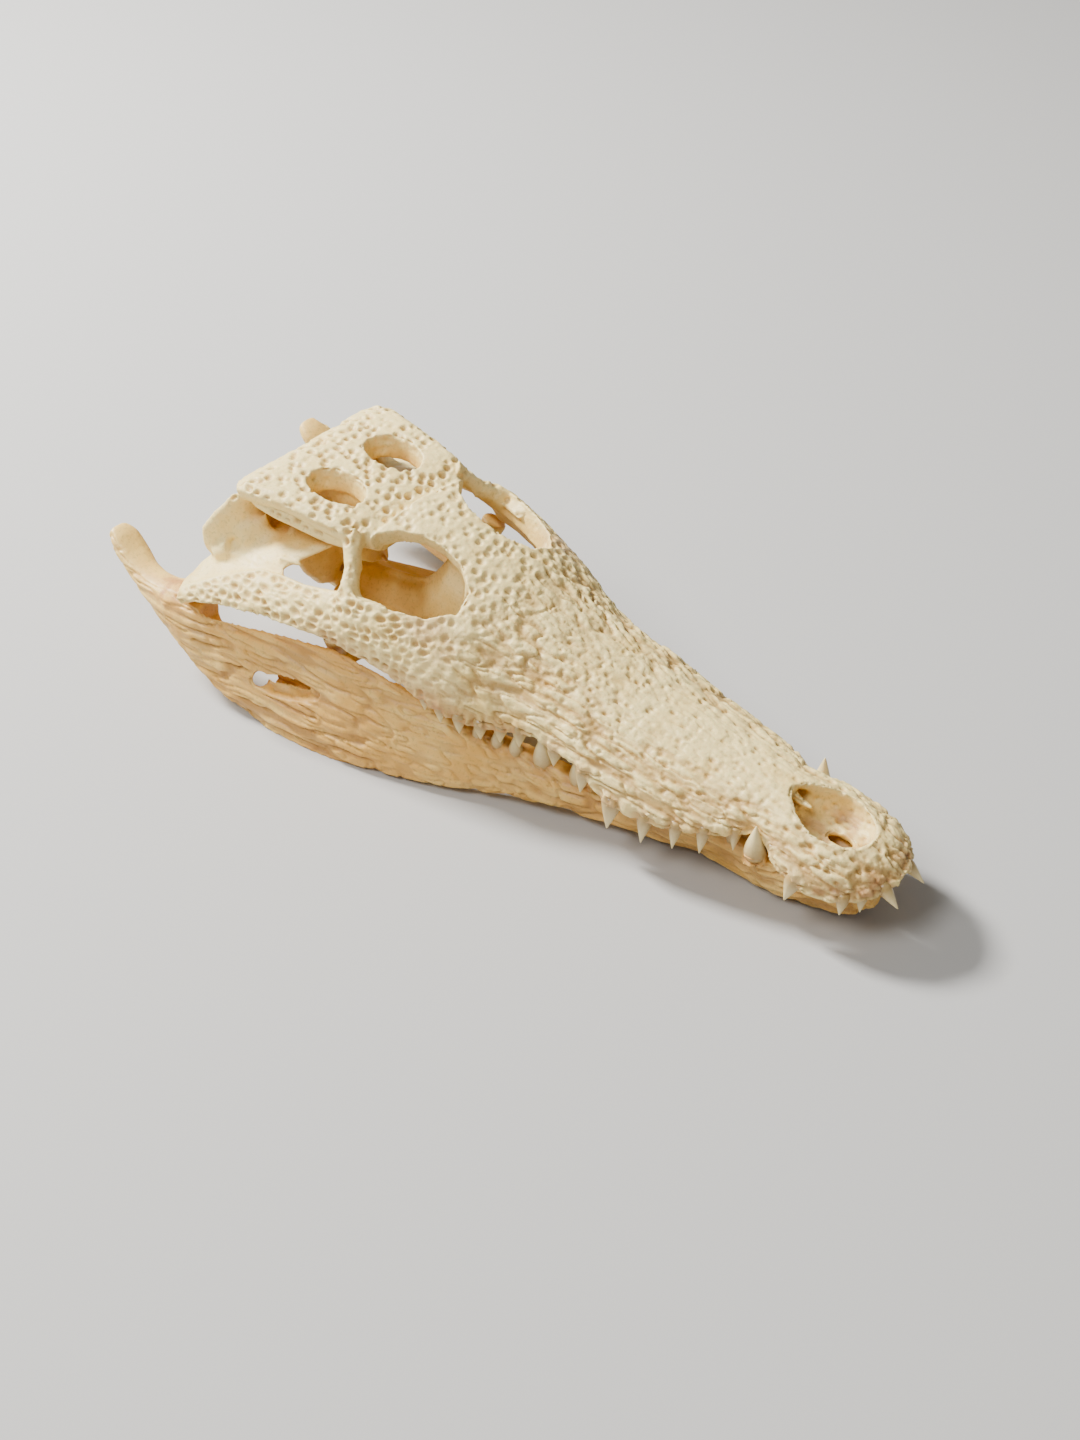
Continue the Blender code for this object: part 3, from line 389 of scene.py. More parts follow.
def addBar(mesh, points):
    # a round bar through points of side, along, height and radius, closed at both ends
    rings = []
    sides = bone["barSides"]
    for (k, point) in enumerate(points):
        ahead = Vector(points[min(k + 1, len(points) - 1)][:3]) - Vector(points[max(k - 1, 0)][:3])
        across = ahead.orthogonal().normalized()
        other = ahead.cross(across).normalized()
        ring = []
        for j in range(sides):
            turn = 2 * math.pi * j / sides
            spoke = across * math.cos(turn) + other * math.sin(turn)
            ring.append(mesh.verts.new(place(*(Vector(point[:3]) + spoke * point[3]))))
        rings.append(ring)
    faces = [mesh.faces.new((a[k], a[(k + 1) % sides], b[(k + 1) % sides], b[k]))
             for (a, b) in zip(rings[:-1], rings[1:]) for k in range(sides)]
    faces += [mesh.faces.new(rings[0][::-1]), mesh.faces.new(rings[-1])]
    bmesh.ops.recalc_face_normals(mesh, faces=faces)


def socketBars(rows):
    # a collar of bone around the root of each tooth
    return [((*(root - way * bone["collarDepth"]), thick * bone["collar"]),
             (*(root + way * bone["collarRise"]), thick * bone["collar"] * bone["collarTop"]))
            for (root, way, _, thick) in rows]


def remeshed(name, mesh):
    # one closed skin around everything in the mesh, with points half a millimetre apart
    piece = bpy.data.objects.new(name, bpy.data.meshes.new(name))
    mesh.to_mesh(piece.data)
    mesh.free()
    bpy.context.scene.collection.objects.link(piece)
    modifier = piece.modifiers.new("evenMesh", "REMESH")
    modifier.mode = "VOXEL"
    modifier.voxel_size = bone["voxel"]
    graph = bpy.context.evaluated_depsgraph_get()
    even = bpy.data.meshes.new_from_object(piece.evaluated_get(graph))
    piece.modifiers.clear()
    piece.data = even
    return piece


class Surface:
    # points, normals and neighbours of a mesh, as arrays
    def __init__(self, mesh):
        self.mesh = mesh
        self.count = len(mesh.vertices)
        self.edges = np.empty(len(mesh.edges) * 2, np.int32)
        mesh.edges.foreach_get("vertices", self.edges)
        self.edges = self.edges.reshape(-1, 2)
        self.degree = np.maximum(np.bincount(self.edges.ravel(), minlength=self.count), 1)[:, None]
        self.points = np.empty(self.count * 3)
        mesh.vertices.foreach_get("co", self.points)
        self.points = self.points.reshape(-1, 3)

    def mean(self, values):
        total = np.empty_like(values)
        (a, b) = (self.edges[:, 0], self.edges[:, 1])
        for k in range(values.shape[1]):
            total[:, k] = np.bincount(a, values[b, k], self.count) + np.bincount(b, values[a, k], self.count)
        return total / self.degree

    def soften(self, passes, values):
        for _ in range(passes):
            values = 0.5 * values + 0.5 * self.mean(values)
        return values

    def roundOff(self, passes):
        # smooths without shrinking: a step inwards, then a slightly larger one outwards
        for _ in range(passes):
            self.points += 0.55 * (self.mean(self.points) - self.points)
            self.points -= 0.57 * (self.mean(self.points) - self.points)

    def melt(self, passes, share):
        # blends pieces of bone into each other, by a share for each point
        for _ in range(passes):
            self.points += 0.5 * share[:, None] * (self.mean(self.points) - self.points)

    def parts(self):
        # side, along and height of each point, in parts
        return (self.points - np.array((0, grid["backOfTable"], 0))) / grid["part"]

    def write(self):
        self.mesh.vertices.foreach_set("co", self.points.ravel())
        self.mesh.update()

    def normals(self):
        self.write()
        values = np.empty(self.count * 3)
        self.mesh.vertex_normals.foreach_get("vector", values)
        return values.reshape(-1, 3)


def openness(surface, normals, solids):
    # how much of the sky above each point is free of bone: 1 on top, near 0 deep inside
    chance = random.Random(skyRays["seed"])
    rays = []
    for k in range(skyRays["count"]):
        z = math.sqrt(1 - (k + 0.5) / skyRays["count"])
        turn = skyRays["goldenTurn"] * k + chance.random()
        flat = math.sqrt(1 - z * z)
        rays.append(Vector((flat * math.cos(turn), flat * math.sin(turn), z)))
    found = np.zeros((surface.count, 1))
    known = np.zeros((surface.count, 1))
    for k in range(0, surface.count, skyRays["step"]):
        normal = Vector(normals[k])
        turn = normal.to_track_quat("Z", "Y")
        start = Vector(surface.points[k]) + normal * skyRays["lift"]
        free = sum(1 for ray in rays if solids.ray_cast(start, turn @ ray, skyRays["reach"])[0] is None)
        found[k] = free / len(rays)
        known[k] = 1.0
    for _ in range(skyRays["spread"]):
        (found, known) = (surface.mean(found) * 0.6 + found * 0.4, surface.mean(known) * 0.6 + known * 0.4)
    return (found / np.maximum(known, 1e-6))[:, 0]


def measured(surface):
    # normals, places in mm and in parts, how far each point faces outwards, and how far it bulges in mm
    normals = surface.normals()
    mm = surface.points * 1000
    outwards = normals[:, 0] * np.sign(mm[:, 0])
    blurred = surface.soften(bone["blurring"], surface.points.copy())
    bulge = ((surface.points - blurred) * normals).sum(axis=1) * 1000
    return normals, mm, surface.parts(), outwards, bulge


def wandering(mm, size, salt):
    # three noises, which bend a pattern to the sides, along and up
    return np.column_stack([layeredNoise(mm / size, salt + k) for k in range(3)])


def marksAndShadeOf(toneAndShade, stainAndShade, pits):
    # tone with painted shade in closed places, brown stain with painted shade in corners and sockets, and
    # depth of the pits for their painted shade, for the finish
    return np.column_stack([np.clip(values, 0, 1) for values in (toneAndShade, stainAndShade, pits)] + [np.ones(len(toneAndShade))])


# a tooth's socket: its reach along the root in parts, the rest against the tooth's thickness
socketShape = {"reach": 1.6, "outside": 0.95, "wall": 0.55, "rim": 1.0, "rimWidth": 0.28}


def aroundTeeth(at, rows):
    # 1 at the wall of a socket, and 1 on the swelling of bone around it
    s = socketShape
    (socket, swelling) = (np.zeros(len(at)), np.zeros(len(at)))
    for (root, way, _, thick) in rows:
        near = np.flatnonzero(np.abs(at[:, 1] - root.y) < thick + 2)
        offset = at[near] - np.array(root)
        reach = offset @ np.array(way)
        distance = np.sqrt(np.maximum((offset ** 2).sum(axis=1) - reach ** 2, 0)) / thick
        level = np.exp(-(reach / s["reach"]) ** 2)
        socket[near] = np.maximum(socket[near], level * smooth(s["outside"], s["wall"], distance))
        bulging = np.exp(-((distance - s["rim"]) / s["rimWidth"]) ** 2)
        swelling[near] = np.maximum(swelling[near], bulging * level)
    return socket, swelling


# cranium: sizes of the patterns across, along and up, then depths and heights, all in mm
craniumRelief = {
    "wander": 9.0,
    "pits": 3.2, "tablePits": 1.05, "browPits": 0.75,
    "honeycomb": (2.5, 3.6, 2.4), "honeycombDepth": 1.30,
    "longRidges": (2.5, 17.0, 2.5), "shortRidges": (2.1, 9.0, 2.1), "shortShare": 0.7,
    "ridgeDip": 0.10, "ridgeSpread": 0.04,          # rise and spread for each mm towards the snout
    "wrinkles": (1.3, 3.6, 1.3),
    "flankRidges": 1.20, "flankWrinkles": 0.25, "topRidges": 0.35, "topWrinkles": 0.22,
    "smallPits": (2.2, 3.2, 2.2), "smallPitDepth": 0.60,
    "rough": 1.7, "roughHeight": 0.20, "fine": (1.2, 3.4, 1.2), "fineHeight": 0.14,
    "swell": 14.0, "swellHeight": 0.20, "swellingHeight": 0.32, "socketDepth": 0.25,
    "underTable": 0.55, "suture": 0.16, "sutureWidth": 0.34,
    "deepest": 1.2,
}
# upper edge of the cheek: along, side and height
cheekEdge = (
    (-8.0, 23.8, 18.0), (-5.4, 23.3, 18.2), (-2.0, 21.6, 20.2), (2.0, 19.3, 22.0), (6.0, 17.4, 23.2),
    (10.0, 17.0, 23.6), (14.0, 17.2, 24.0), (18.0, 16.6, 24.7), (22.0, 15.9, 25.3), (27.0, 14.8, 24.9),
    (36.0, 13.4, 24.2), (44.0, 10.0, 24.0),
)
# lower part of the cheek, stained brown up to this height: along and height
lowCheekLine = ((-6, 16.0), (6, 18.5), (20, 18.3), (33, 15.5))
# painted shade, brown, where the cheek meets the orbit, under the table's edge, and at the back of the
# orbit: place, reach and strength
paintedShadePatches = (
    ((13.5, 35, 23), 6, 0.6), ((8.5, 4, 26.6), 4, 0.7), ((8.5, 10, 27.4), 4, 0.7), ((4.5, 17.5, 24), 4, 0.6),
    ((10.5, -1.5, 26.5), 4, 0.5),
)


def craniumRegions(at, normals, outwards, bulge, free):
    # a share from 0 to 1 for each point, by its place in parts and by the way it faces
    (side, along, height) = (np.abs(at[:, 0]), at[:, 1], at[:, 2])
    upwards = normals[:, 2]
    (places, sides, heights) = zip(*cheekEdge)
    edgeSide = np.interp(along, places, sides)
    edgeHeight = np.interp(along, places, heights)
    return {
        # edges, where the bone bulges away from its surroundings, and deep places stay smooth
        "seen": smooth(0.30, 0.56, free) * smooth(1.15, 0.45, bulge),
        "cheek": (smooth(-0.3, 0.7, side - edgeSide) * smooth(0.9, -0.1, height - edgeHeight)
                  * smooth(-7, -3, along) * smooth(44, 33, along) * smooth(0.05, 0.4, outwards)),
        "table": smooth(28.2, 30.0, height) * smooth(22.5, 18.5, along) * smooth(0.0, 0.4, upwards),
        "brow": (smooth(17.5, 20.5, along) * smooth(46, 36, along) * smooth(0.2, 0.55, upwards)
                 * smooth(20, 23, height)),
        "top": smooth(42, 52, along) * smooth(0.45, 0.8, upwards),
        "flank": (smooth(34, 42, along) * smooth(0.985, 0.88, upwards)
                  * smooth(-0.25, 0.15, upwards + outwards - 0.4)),
        "tip": smooth(82, 88, along) * smooth(-0.2, 0.2, upwards),
        # hollow between the edge of the skull table and the lip below it
        "underTable": (smooth(9.0, 10.2, side) * smooth(-4, -1, along) * smooth(19, 16, along)
                       * smooth(0.5, 0.1, np.abs(upwards)) * np.exp(-((height - 30.9) / 0.45) ** 2)),
    }


def sculptCranium(surface, free, teeth):
    r = craniumRelief
    (normals, mm, at, outwards, bulge) = measured(surface)
    region = craniumRegions(at, normals, outwards, bulge, free)
    (cheek, table, brow) = (region["cheek"], region["table"], region["brow"])
    (top, flank, tip) = (region["top"], region["flank"], region["tip"])
    (side, along, height) = (np.abs(at[:, 0]), at[:, 1], at[:, 2])
    wander = wandering(mm, r["wander"], 40)

    # round pits
    (near, _, own) = cellPattern(mm / r["pits"] + wander * 0.25, 1)
    roundPits = smooth(0.56, 0.22, near) * smooth(0.02, 0.22, own)
    # honeycomb of rounded walls
    (near, second, own) = cellPattern(mm / np.array(r["honeycomb"]) + wander * 0.35, 11)
    walls = 0.55 * smooth(0.0, 0.55, second - near) + 0.45 * smooth(0.62, 0.15, near)
    honeycomb = walls * (0.65 + 0.35 * own)
    # rounded ridges that wind along the snout and dip to the front, with finer ones
    slanted = mm.copy()
    slanted[:, 2] += r["ridgeDip"] * mm[:, 1]
    slanted[:, 0] += r["ridgeSpread"] * mm[:, 1] * np.sign(mm[:, 0])
    ridges = slanted + layeredNoise(mm / 7.0, 51)[:, None] * np.array((1.2, 0.0, 1.2))
    furrows = np.maximum(creases(ridges / np.array(r["longRidges"]), 21),
                         r["shortShare"] * creases(ridges / np.array(r["shortRidges"]), 24))
    wrinkles = creases(ridges / np.array(r["wrinkles"]), 26)
    (near, _, own) = cellPattern(mm / np.array(r["smallPits"]) + wander * 0.3, 31)
    smallPits = smooth(0.48, 0.14, near) * smooth(0.25, 0.7, own)
    swell = layeredNoise(mm / r["swell"], 61)
    rough = layeredNoise(mm / r["rough"], 71)
    fine = layeredNoise(mm / np.array(r["fine"]), 81)

    (socket, swelling) = aroundTeeth(at, teeth)
    flankLines = r["flankRidges"] * furrows + r["flankWrinkles"] * wrinkles
    topLines = r["topRidges"] * furrows + r["topWrinkles"] * wrinkles
    pitDepth = np.maximum(r["tablePits"] * table, r["browPits"] * brow)
    depth = region["seen"] * (roundPits * pitDepth * (1 - cheek)
                              + r["honeycombDepth"] * honeycomb * cheek
                              + flankLines * flank * (1 - cheek) * (1 - 0.45 * brow)
                              + r["smallPitDepth"] * smallPits * np.maximum(top, tip * 1.3)
                              + topLines * top * (1 - flank))
    lift = region["seen"] * (r["roughHeight"] * rough * np.maximum(np.maximum(table, brow), 0.5)
                             + r["fineHeight"] * fine)
    lift += r["swellHeight"] * swell + r["swellingHeight"] * swelling * smooth(30, 38, along)
    lift -= r["socketDepth"] * socket
    depth += r["underTable"] * region["underTable"]
    # sutures down the middle of the snout and across the front of the table
    wavy = mm[:, 0] + 0.5 * np.sin(mm[:, 1] * 1.9) + 0.5 * wander[:, 0]
    seam = np.exp(-(wavy / r["sutureWidth"]) ** 2)
    seam *= smooth(34, 38, along) * smooth(84, 80, along) * smooth(0.6, 0.8, normals[:, 2])
    wavy = along - 18.4 + 0.35 * np.sin(mm[:, 0] * 1.3) + wander[:, 1] * 0.5
    across = np.exp(-(wavy / 0.16) ** 2) * table
    depth += r["suture"] * (seam + across) * region["seen"]
    surface.points += normals * ((lift - depth) / 1000)[:, None]

    patch = layeredNoise(mm / 11.0, 91)
    # painted shade: honey where little sky is open, darker low down behind the snout; paler on bulging edges,
    # with patchy tone
    toneAndShade = smooth(0.62, 0.18, free) * 0.8 + 0.22 * smooth(0.1, 0.7, patch) - 0.12 * smooth(0.2, 0.8, bulge)
    toneAndShade += 0.35 * smooth(20, 12, height) * smooth(60, 30, along)
    lowCheek = cheek * smooth(4.5, 0.5, height - np.interp(along, *zip(*lowCheekLine)))
    stainAndShade = lowCheek * smooth(12, 22, along) * (0.5 + 0.6 * patch)
    # painted shade in the sockets, and brown mottling on the swellings around them
    stainAndShade += 0.7 * socket + 0.3 * swelling * smooth(0.0, 0.5, patch)
    stainAndShade += tip * smooth(12.5, 10.5, height) * smooth(-0.1, 0.6, layeredNoise(mm / 4.0, 95)) * 0.7
    # painted shade in the corners, under the table's edge and at the back of the orbit
    for (centre, reach, share) in paintedShadePatches:
        distance = np.sqrt((side - centre[0]) ** 2 + (along - centre[1]) ** 2 + (height - centre[2]) ** 2)
        stainAndShade += smooth(reach, 0.5, distance) * share * smooth(-0.5, 0.3, patch)
    return marksAndShadeOf(toneAndShade, stainAndShade, depth / r["deepest"])


# lower jaw: sizes of the patterns across, along and up, then depths and heights, all in mm
jawRelief = {
    "wander": 12.0,
    "lines": (1.7, 36.0, 1.7), "lineDepth": 0.65,
    "furrows": (3.4, 18.0, 3.4), "furrowWidth": 0.38, "rearFurrows": 1.15, "frontFurrows": 0.90,
    "pits": (2.6, 4.6, 2.6), "frontPits": 0.35, "rearPits": 0.25,
    "rough": (1.1, 4.0, 1.1), "roughHeight": 0.06, "swell": 15.0, "swellHeight": 0.13,
    "swellingHeight": 0.25, "socketDepth": 0.20,
    "levelBelow": 0.9,          # the resting flats stay level
    "deepest": 1.0,
}


def sculptJaw(surface, free, teeth):
    r = jawRelief
    (normals, mm, at, outwards, bulge) = measured(surface)
    (along, height) = (at[:, 1], at[:, 2])
    wander = wandering(mm, r["wander"], 140)
    # long growth lines and broader furrows along the bone, and pits
    ridges = mm + layeredNoise(mm / 10.0, 105)[:, None] * np.array((1.0, 0.0, 1.0))
    lines = creases(ridges / np.array(r["lines"]), 101)
    furrows = creases(ridges / np.array(r["furrows"]), 111, r["furrowWidth"])
    (near, _, own) = cellPattern(mm / np.array(r["pits"]) + wander * 0.3, 121)
    pits = smooth(0.42, 0.14, near) * smooth(0.45, 0.8, own)
    rough = layeredNoise(mm / np.array(r["rough"]), 131)
    swell = layeredNoise(mm / r["swell"], 151)
    # the outer face, its lower part, and the bone behind and before the middle
    outer = smooth(-0.1, 0.35, outwards + 0.3 * (-normals[:, 2])) * smooth(0.8, 0.25, bulge)
    lower = smooth(9.5, 4.0, height - 0.12 * np.maximum(0, 10 - along) * 6)
    rear = smooth(36, 24, along) * smooth(-8, 0, along)
    front = smooth(40, 55, along)

    (socket, swelling) = aroundTeeth(at, teeth)
    depth = outer * (r["lineDepth"] * lines + r["rearFurrows"] * furrows * np.maximum(lower, 0.45) * rear
                     + r["frontFurrows"] * furrows * front + r["frontPits"] * pits * front
                     + r["rearPits"] * pits * lower * rear)
    lift = (r["swellHeight"] * swell + r["roughHeight"] * rough + r["swellingHeight"] * swelling
            - r["socketDepth"] * socket)
    level = smooth(0.0, r["levelBelow"], mm[:, 2])
    surface.points += normals * ((lift - depth) / 1000 * level)[:, None]

    patch = layeredNoise(mm / np.array((8.0, 26.0, 8.0)), 161)
    streak = layeredNoise(mm / np.array((2.4, 30.0, 2.4)), 166)
    # painted shade: honey where little sky is open; paler on bulging edges and on the horn behind the joint,
    # with patches and streaks of tone
    toneAndShade = 0.34 + smooth(0.6, 0.2, free) * 0.5 + 0.22 * patch + 0.30 * streak - 0.25 * smooth(0.2, 0.8, bulge)
    toneAndShade -= 0.5 * smooth(-8, -18, along)
    # painted shade in the sockets, and near the bottom edge in streaks
    stainAndShade = 0.6 * socket + 0.5 * smooth(3.0, 0.5, height) * smooth(0.0, 0.6, streak)
    # brown crust on the joint
    crust = smooth(-0.3, 0.4, layeredNoise(mm / 3.0, 181))
    stainAndShade += 0.9 * np.exp(-((along + 9.5) / 4.2) ** 2) * smooth(11.5, 14.5, height) * crust
    return marksAndShadeOf(toneAndShade, stainAndShade, depth / r["deepest"])


def blendCranium(surface):
    # the ear region, where plate, wing and joint are one smooth bone, and the bars behind the orbit
    at = surface.parts()
    (side, along, height) = (np.abs(at[:, 0]), at[:, 1], at[:, 2])
    ear = (smooth(7.0, 10.0, side) * smooth(7.0, 2.0, along) * smooth(29.4, 28.4, height)
           * smooth(15.0, 17.5, height))
    bar = (smooth(8.0, 9.5, side) * smooth(14.5, 16.5, along) * smooth(24, 22, along)
           * smooth(29.5, 28, height))
    return np.clip(ear + 0.4 * bar, 0, 1)


def blendJaw(surface):
    # the horn behind the joint
    return smooth(-9.0, -13.0, surface.parts()[:, 1])


def addBone(name, node, rows, extras, sculpt, blend, solids):
    mesh = weldedMesh(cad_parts[node])
    drawBackTeeth(mesh, rows)
    for points in [*extras, *socketBars(rows)]:
        addBar(mesh, points)
    piece = remeshed(name, mesh)
    surface = Surface(piece.data)
    surface.roundOff(bone["rounding"])
    surface.melt(bone["melting"], blend(surface))
    free = openness(surface, surface.normals(), solids)
    marks = sculpt(surface, free, rows)
    surface.points = np.clip(surface.points, np.array(cadBox[0]), np.array(cadBox[1]))
    surface.write()
    # tone, stain and painted shade for the finish
    layer = piece.data.attributes.new("boneMarksAndShade", "FLOAT_COLOR", "POINT")
    layer.data.foreach_set("color", marks.astype(np.float32).ravel())
    piece.data.shade_smooth()
    print(name, "has", surface.count, "points")
    return piece


# finishes

# cleaned, degreased bone: ivory where open, honey in closed places and pits as painted shade, satin from
# handling
craniumBone = {
    "outside": "#f9df96", "between": "#edca74", "inside": "#dcb05c", "pit": "#b88d48", "pitAmount": 0.8,
    "stainAndShade": "#b5764a", "mottleMm": 9.0, "poreMm": 0.9, "fibreMm": 0.9, "bump": 0.35, "roughness": 0.52,
}
# the lower jaw keeps more of its grease, and so is warmer and a little smoother
jawBone = {
    "outside": "#f3cc76", "between": "#e3af54", "inside": "#d29a44", "pit": "#a8763c", "pitAmount": 0.6,
    "stainAndShade": "#a9683a", "mottleMm": 16.0, "poreMm": 1.0, "fibreMm": 1.0, "bump": 0.3, "roughness": 0.48,
}
# tooth enamel over dentine: cream, glossier than bone, darker at the neck, with clouds about 1.4 mm wide
# and fine lines about 0.5 mm apart
enamelLooks = {
    "tip": "#ead59a", "neck": "#b59354", "roughness": 0.34, "cloudScale": 700.0, "lineScale": 2200.0,
}


def boneMaterial(name, looks):
    material = bpy.data.materials.new(name)
    material.use_nodes = True
    tree = material.node_tree
    shader = tree.nodes["Principled BSDF"]
    marks = addNode(tree, "ShaderNodeAttribute", {"attribute_name": "boneMarksAndShade"})
    parts = addNode(tree, "ShaderNodeSeparateColor", links={"Color": marks.outputs["Color"]})
    where = addNode(tree, "ShaderNodeTexCoord").outputs["Object"]
    mottle = addNode(tree, "ShaderNodeTexNoise", inputs={"Scale": 1000 / looks["mottleMm"], "Detail": 4.0,
                     "Roughness": 0.6}, links={"Vector": where})
    speck = addNode(tree, "ShaderNodeTexNoise", inputs={"Scale": 1000 / looks["poreMm"], "Detail": 2.0},
                    links={"Vector": where})
    # from open bone to the honey of closed places, which is painted shade, mottled
    spread = addNode(tree, "ShaderNodeMapRange", inputs={"From Min": 0.35, "From Max": 0.68, "To Min": -0.16,
                     "To Max": 0.20}, links={"Value": mottle.outputs["Fac"]})
    toneAndShadeMix = addNode(tree, "ShaderNodeMath", {"operation": "ADD", "use_clamp": True},
                     links={0: parts.outputs["Red"], 1: spread.outputs["Result"]})
    ramp = addNode(tree, "ShaderNodeValToRGB", links={"Fac": toneAndShadeMix.outputs["Value"]})
    ramp.color_ramp.elements[0].color = hexColour(looks["outside"])
    ramp.color_ramp.elements[1].color = hexColour(looks["inside"])
    middle = ramp.color_ramp.elements.new(0.45)
    middle.color = hexColour(looks["between"])
    # painted shade in the pits, brown stain with painted shade in corners and sockets, and pores
    pitShadeShare = addNode(tree, "ShaderNodeMapRange", inputs={"From Min": 0.25, "From Max": 1.0, "To Min": 0.0,
                     "To Max": looks["pitAmount"]}, links={"Value": parts.outputs["Blue"]})
    pitted = addNode(tree, "ShaderNodeMix", {"data_type": "RGBA", "blend_type": "MIX"},
                     {7: hexColour(looks["pit"])}, {0: pitShadeShare.outputs["Result"], 6: ramp.outputs["Color"]})
    share = addNode(tree, "ShaderNodeMath", {"operation": "MULTIPLY", "use_clamp": True}, {1: 0.75},
                    {0: parts.outputs["Green"]})
    stainedAndShaded = addNode(tree, "ShaderNodeMix", {"data_type": "RGBA", "blend_type": "MIX"},
                      {7: hexColour(looks["stainAndShade"])}, {0: share.outputs["Value"], 6: pitted.outputs[2]})
    dots = addNode(tree, "ShaderNodeMapRange", inputs={"From Min": 0.30, "From Max": 0.45, "To Min": 0.82,
                   "To Max": 1.0}, links={"Value": speck.outputs["Fac"]})
    speckled = addNode(tree, "ShaderNodeMix", {"data_type": "RGBA", "blend_type": "MULTIPLY"}, {0: 1.0},
                       {6: stainedAndShaded.outputs[2], 7: dots.outputs["Result"]})
    tree.links.new(speckled.outputs[2], shader.inputs["Base Color"])
    # grain of the bone: fibres along it, and pores
    stretched = addNode(tree, "ShaderNodeMapping", inputs={"Scale": (1.0, 0.22, 1.0)},
                        links={"Vector": where})
    fibre = addNode(tree, "ShaderNodeTexNoise", inputs={"Scale": 1000 / looks["fibreMm"], "Detail": 3.0,
                    "Roughness": 0.6}, links={"Vector": stretched.outputs["Vector"]})
    both = addNode(tree, "ShaderNodeMath", {"operation": "MULTIPLY_ADD"}, {1: 0.6},
                   {0: speck.outputs["Fac"], 2: fibre.outputs["Fac"]})
    bump = addNode(tree, "ShaderNodeBump", inputs={"Strength": looks["bump"], "Distance": 0.0004},
                   links={"Height": both.outputs["Value"]})
    tree.links.new(bump.outputs["Normal"], shader.inputs["Normal"])
    gloss = addNode(tree, "ShaderNodeMapRange", inputs={"From Min": 0.3, "From Max": 0.7,
                    "To Min": looks["roughness"] - 0.07, "To Max": looks["roughness"] + 0.1},
                    links={"Value": mottle.outputs["Fac"]})
    tree.links.new(gloss.outputs["Result"], shader.inputs["Roughness"])
    shader.inputs["IOR"].default_value = 1.5
    shader.inputs["Subsurface Weight"].default_value = 0.12
    shader.inputs["Subsurface Radius"].default_value = (1.0, 0.6, 0.35)
    shader.inputs["Subsurface Scale"].default_value = 0.0015
    return material


def enamelMaterial():
    material = bpy.data.materials.new("toothEnamel")
    material.use_nodes = True
    tree = material.node_tree
    shader = tree.nodes["Principled BSDF"]
    marks = addNode(tree, "ShaderNodeAttribute", {"attribute_name": "toothMarks"})
    parts = addNode(tree, "ShaderNodeSeparateColor", links={"Color": marks.outputs["Color"]})
    where = addNode(tree, "ShaderNodeTexCoord").outputs["Object"]
    cloud = addNode(tree, "ShaderNodeTexNoise", inputs={"Scale": enamelLooks["cloudScale"], "Detail": 3.0},
                    links={"Vector": where})
    blend = addNode(tree, "ShaderNodeMath", {"operation": "MULTIPLY_ADD"}, {1: 0.35},
                    {0: cloud.outputs["Fac"], 2: parts.outputs["Red"]})
    ramp = addNode(tree, "ShaderNodeValToRGB", links={"Fac": blend.outputs["Value"]})
    ramp.color_ramp.elements[0].color = hexColour(enamelLooks["neck"])
    ramp.color_ramp.elements[1].color = hexColour(enamelLooks["tip"])
    ramp.color_ramp.elements[0].position = 0.12
    ramp.color_ramp.elements[1].position = 0.75
    tree.links.new(ramp.outputs["Color"], shader.inputs["Base Color"])
    stretched = addNode(tree, "ShaderNodeMapping", inputs={"Scale": (1.0, 1.0, 0.15)},
                        links={"Vector": where})
    lines = addNode(tree, "ShaderNodeTexNoise", inputs={"Scale": enamelLooks["lineScale"], "Detail": 2.0},
                    links={"Vector": stretched.outputs["Vector"]})
    bump = addNode(tree, "ShaderNodeBump", inputs={"Strength": 0.15, "Distance": 0.0002},
                   links={"Height": lines.outputs["Fac"]})
    tree.links.new(bump.outputs["Normal"], shader.inputs["Normal"])
    shader.inputs["Roughness"].default_value = enamelLooks["roughness"]
    shader.inputs["IOR"].default_value = 1.62
    shader.inputs["Subsurface Weight"].default_value = 0.2
    shader.inputs["Subsurface Radius"].default_value = (1.0, 0.75, 0.5)
    shader.inputs["Subsurface Scale"].default_value = 0.001
    return material


# fine bones that the solid leaves out, each a list of side, along, height and radius
middleBones = (
    # spine at the back of the nostril
    ((0.0, 82.6, 13.6, 0.9), (0.0, 85.4, 13.2, 0.55), (0.0, 87.0, 12.9, 0.25)),
    # crest between the orbits, low behind and rising to the front
    ((0.0, 13.0, 16.4, 0.5), (0.0, 18.0, 17.4, 0.45), (0.0, 21.5, 18.5, 0.45), (0.0, 24.2, 21.4, 0.45),
     (0.0, 27.2, 25.2, 0.5)),
)
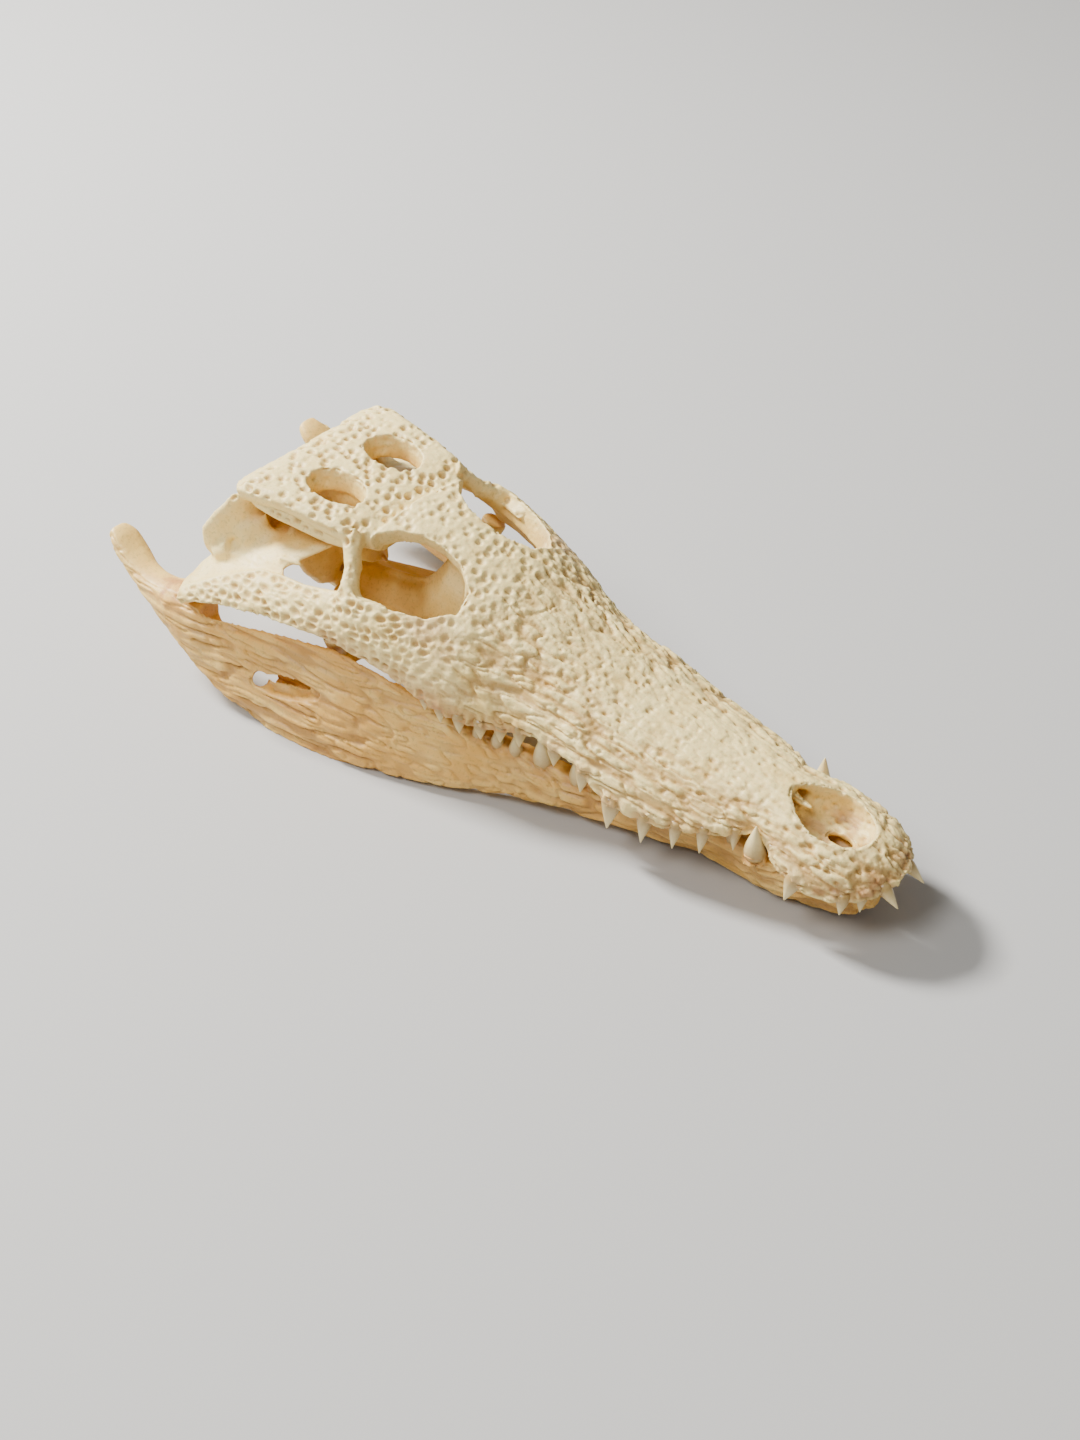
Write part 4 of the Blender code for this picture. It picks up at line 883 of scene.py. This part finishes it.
# the same on both sides
sideBones = (
    # spine at the back of the lower temporal window
    ((14.9, 7.6, 24.2, 0.55), (14.6, 9.4, 24.2, 0.4), (14.2, 10.9, 24.2, 0.22)),
    # two spikes that hang in the ear recess
    ((10.6, 1.8, 29.0, 0.45), (11.0, 1.0, 27.2, 0.4), (11.2, 0.1, 25.2, 0.2)),
    ((9.6, 3.4, 28.6, 0.4), (10.0, 3.0, 26.8, 0.25)),
    # ragged edge of thin bone at the back of the orbit
    ((3.2, 15.6, 22.0, 0.5), (4.2, 17.2, 22.7, 0.4), (5.0, 18.6, 23.2, 0.22)),
    ((5.4, 16.4, 25.6, 0.5), (6.4, 18.0, 26.0, 0.4), (7.0, 19.4, 26.4, 0.22)),
    # bone that fills the corner between the quadrate's plate and its wing
    ((10.4, 0.8, 23.9, 1.5), (12.2, 0.1, 23.5, 1.7), (14.2, -0.9, 22.8, 1.8), (15.9, -2.5, 21.9, 1.7),
     (17.1, -4.3, 20.8, 1.1)),
    ((10.4, 2.4, 23.9, 1.0), (12.2, 1.6, 23.2, 1.0), (14.2, 0.5, 22.3, 1.0), (16.2, -1.3, 21.2, 0.9)),
    ((10.4, 0.6, 25.6, 1.0), (12.2, -0.2, 25.2, 1.0), (14.2, -1.2, 24.4, 1.0), (15.9, -2.9, 23.4, 0.9)),
    # lip under the edge of the skull table, over the ear
    ((11.6, -1.5, 29.4, 0.7), (12.7, 2.0, 29.9, 0.85), (12.6, 6.0, 29.7, 0.95), (12.0, 10.0, 29.3, 0.95),
     (11.4, 14.0, 28.8, 0.9), (11.0, 17.0, 28.6, 0.8)),
)
# inner wall of the lower jaw, seen through the front of its window
innerWall = ((18.0, 7.8, 4.6, 1.2), (18.0, 9.3, 4.9, 1.5), (18.0, 11.9, 5.8, 1.6), (17.8, 14.7, 6.2, 1.6),
             (17.5, 17.5, 6.3, 1.3))


def onSide(side, points):
    return [(side * across, along, height, radius) for (across, along, height, radius) in points]


def allSolids():
    every = bmesh.new()
    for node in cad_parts.values():
        every.from_mesh(node.data)
    solids = BVHTree.FromBMesh(every)
    every.free()
    return solids


addCamera()
addStage()
print("stage is set")

teeth = listTeeth()
solids = allSolids()
craniumExtras = [*middleBones, *(onSide(side, points) for side in (1, -1) for points in sideBones)]
dryBone = boneMaterial("driedIvoryBone", craniumBone)
tanBone = boneMaterial("greasyTanBone", jawBone)
for (name, node, rows, extras, sculpt, blend, material, slot) in (
    ("craniumBone", "cranium", teeth["upper"], craniumExtras, sculptCranium, blendCranium, dryBone,
     "cranium_bone"),
    ("rightJawBone", "mandible_right", teeth["lowerRight"], [onSide(1, innerWall)], sculptJaw, blendJaw,
     tanBone, "jaw_bone"),
    ("leftJawBone", "mandible_left", teeth["lowerLeft"], [onSide(-1, innerWall)], sculptJaw, blendJaw,
     tanBone, "jaw_bone"),
):
    piece = addBone(name, node, rows, extras, sculpt, blend, solids)
    piece.data.materials.clear()
    piece.data.materials.append(material)
    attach(piece, "root")
    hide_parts(node)
print("bones are done")

enamel = enamelMaterial()
for (name, rows, slot) in (("upperTeeth", teeth["upper"], "cranium_bone"),
                           ("rightLowerTeeth", teeth["lowerRight"], "jaw_bone"),
                           ("leftLowerTeeth", teeth["lowerLeft"], "jaw_bone")):
    piece = addTeeth(name, rows)
    piece.data.materials.append(enamel)
    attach(piece, "root")
print("teeth are done")
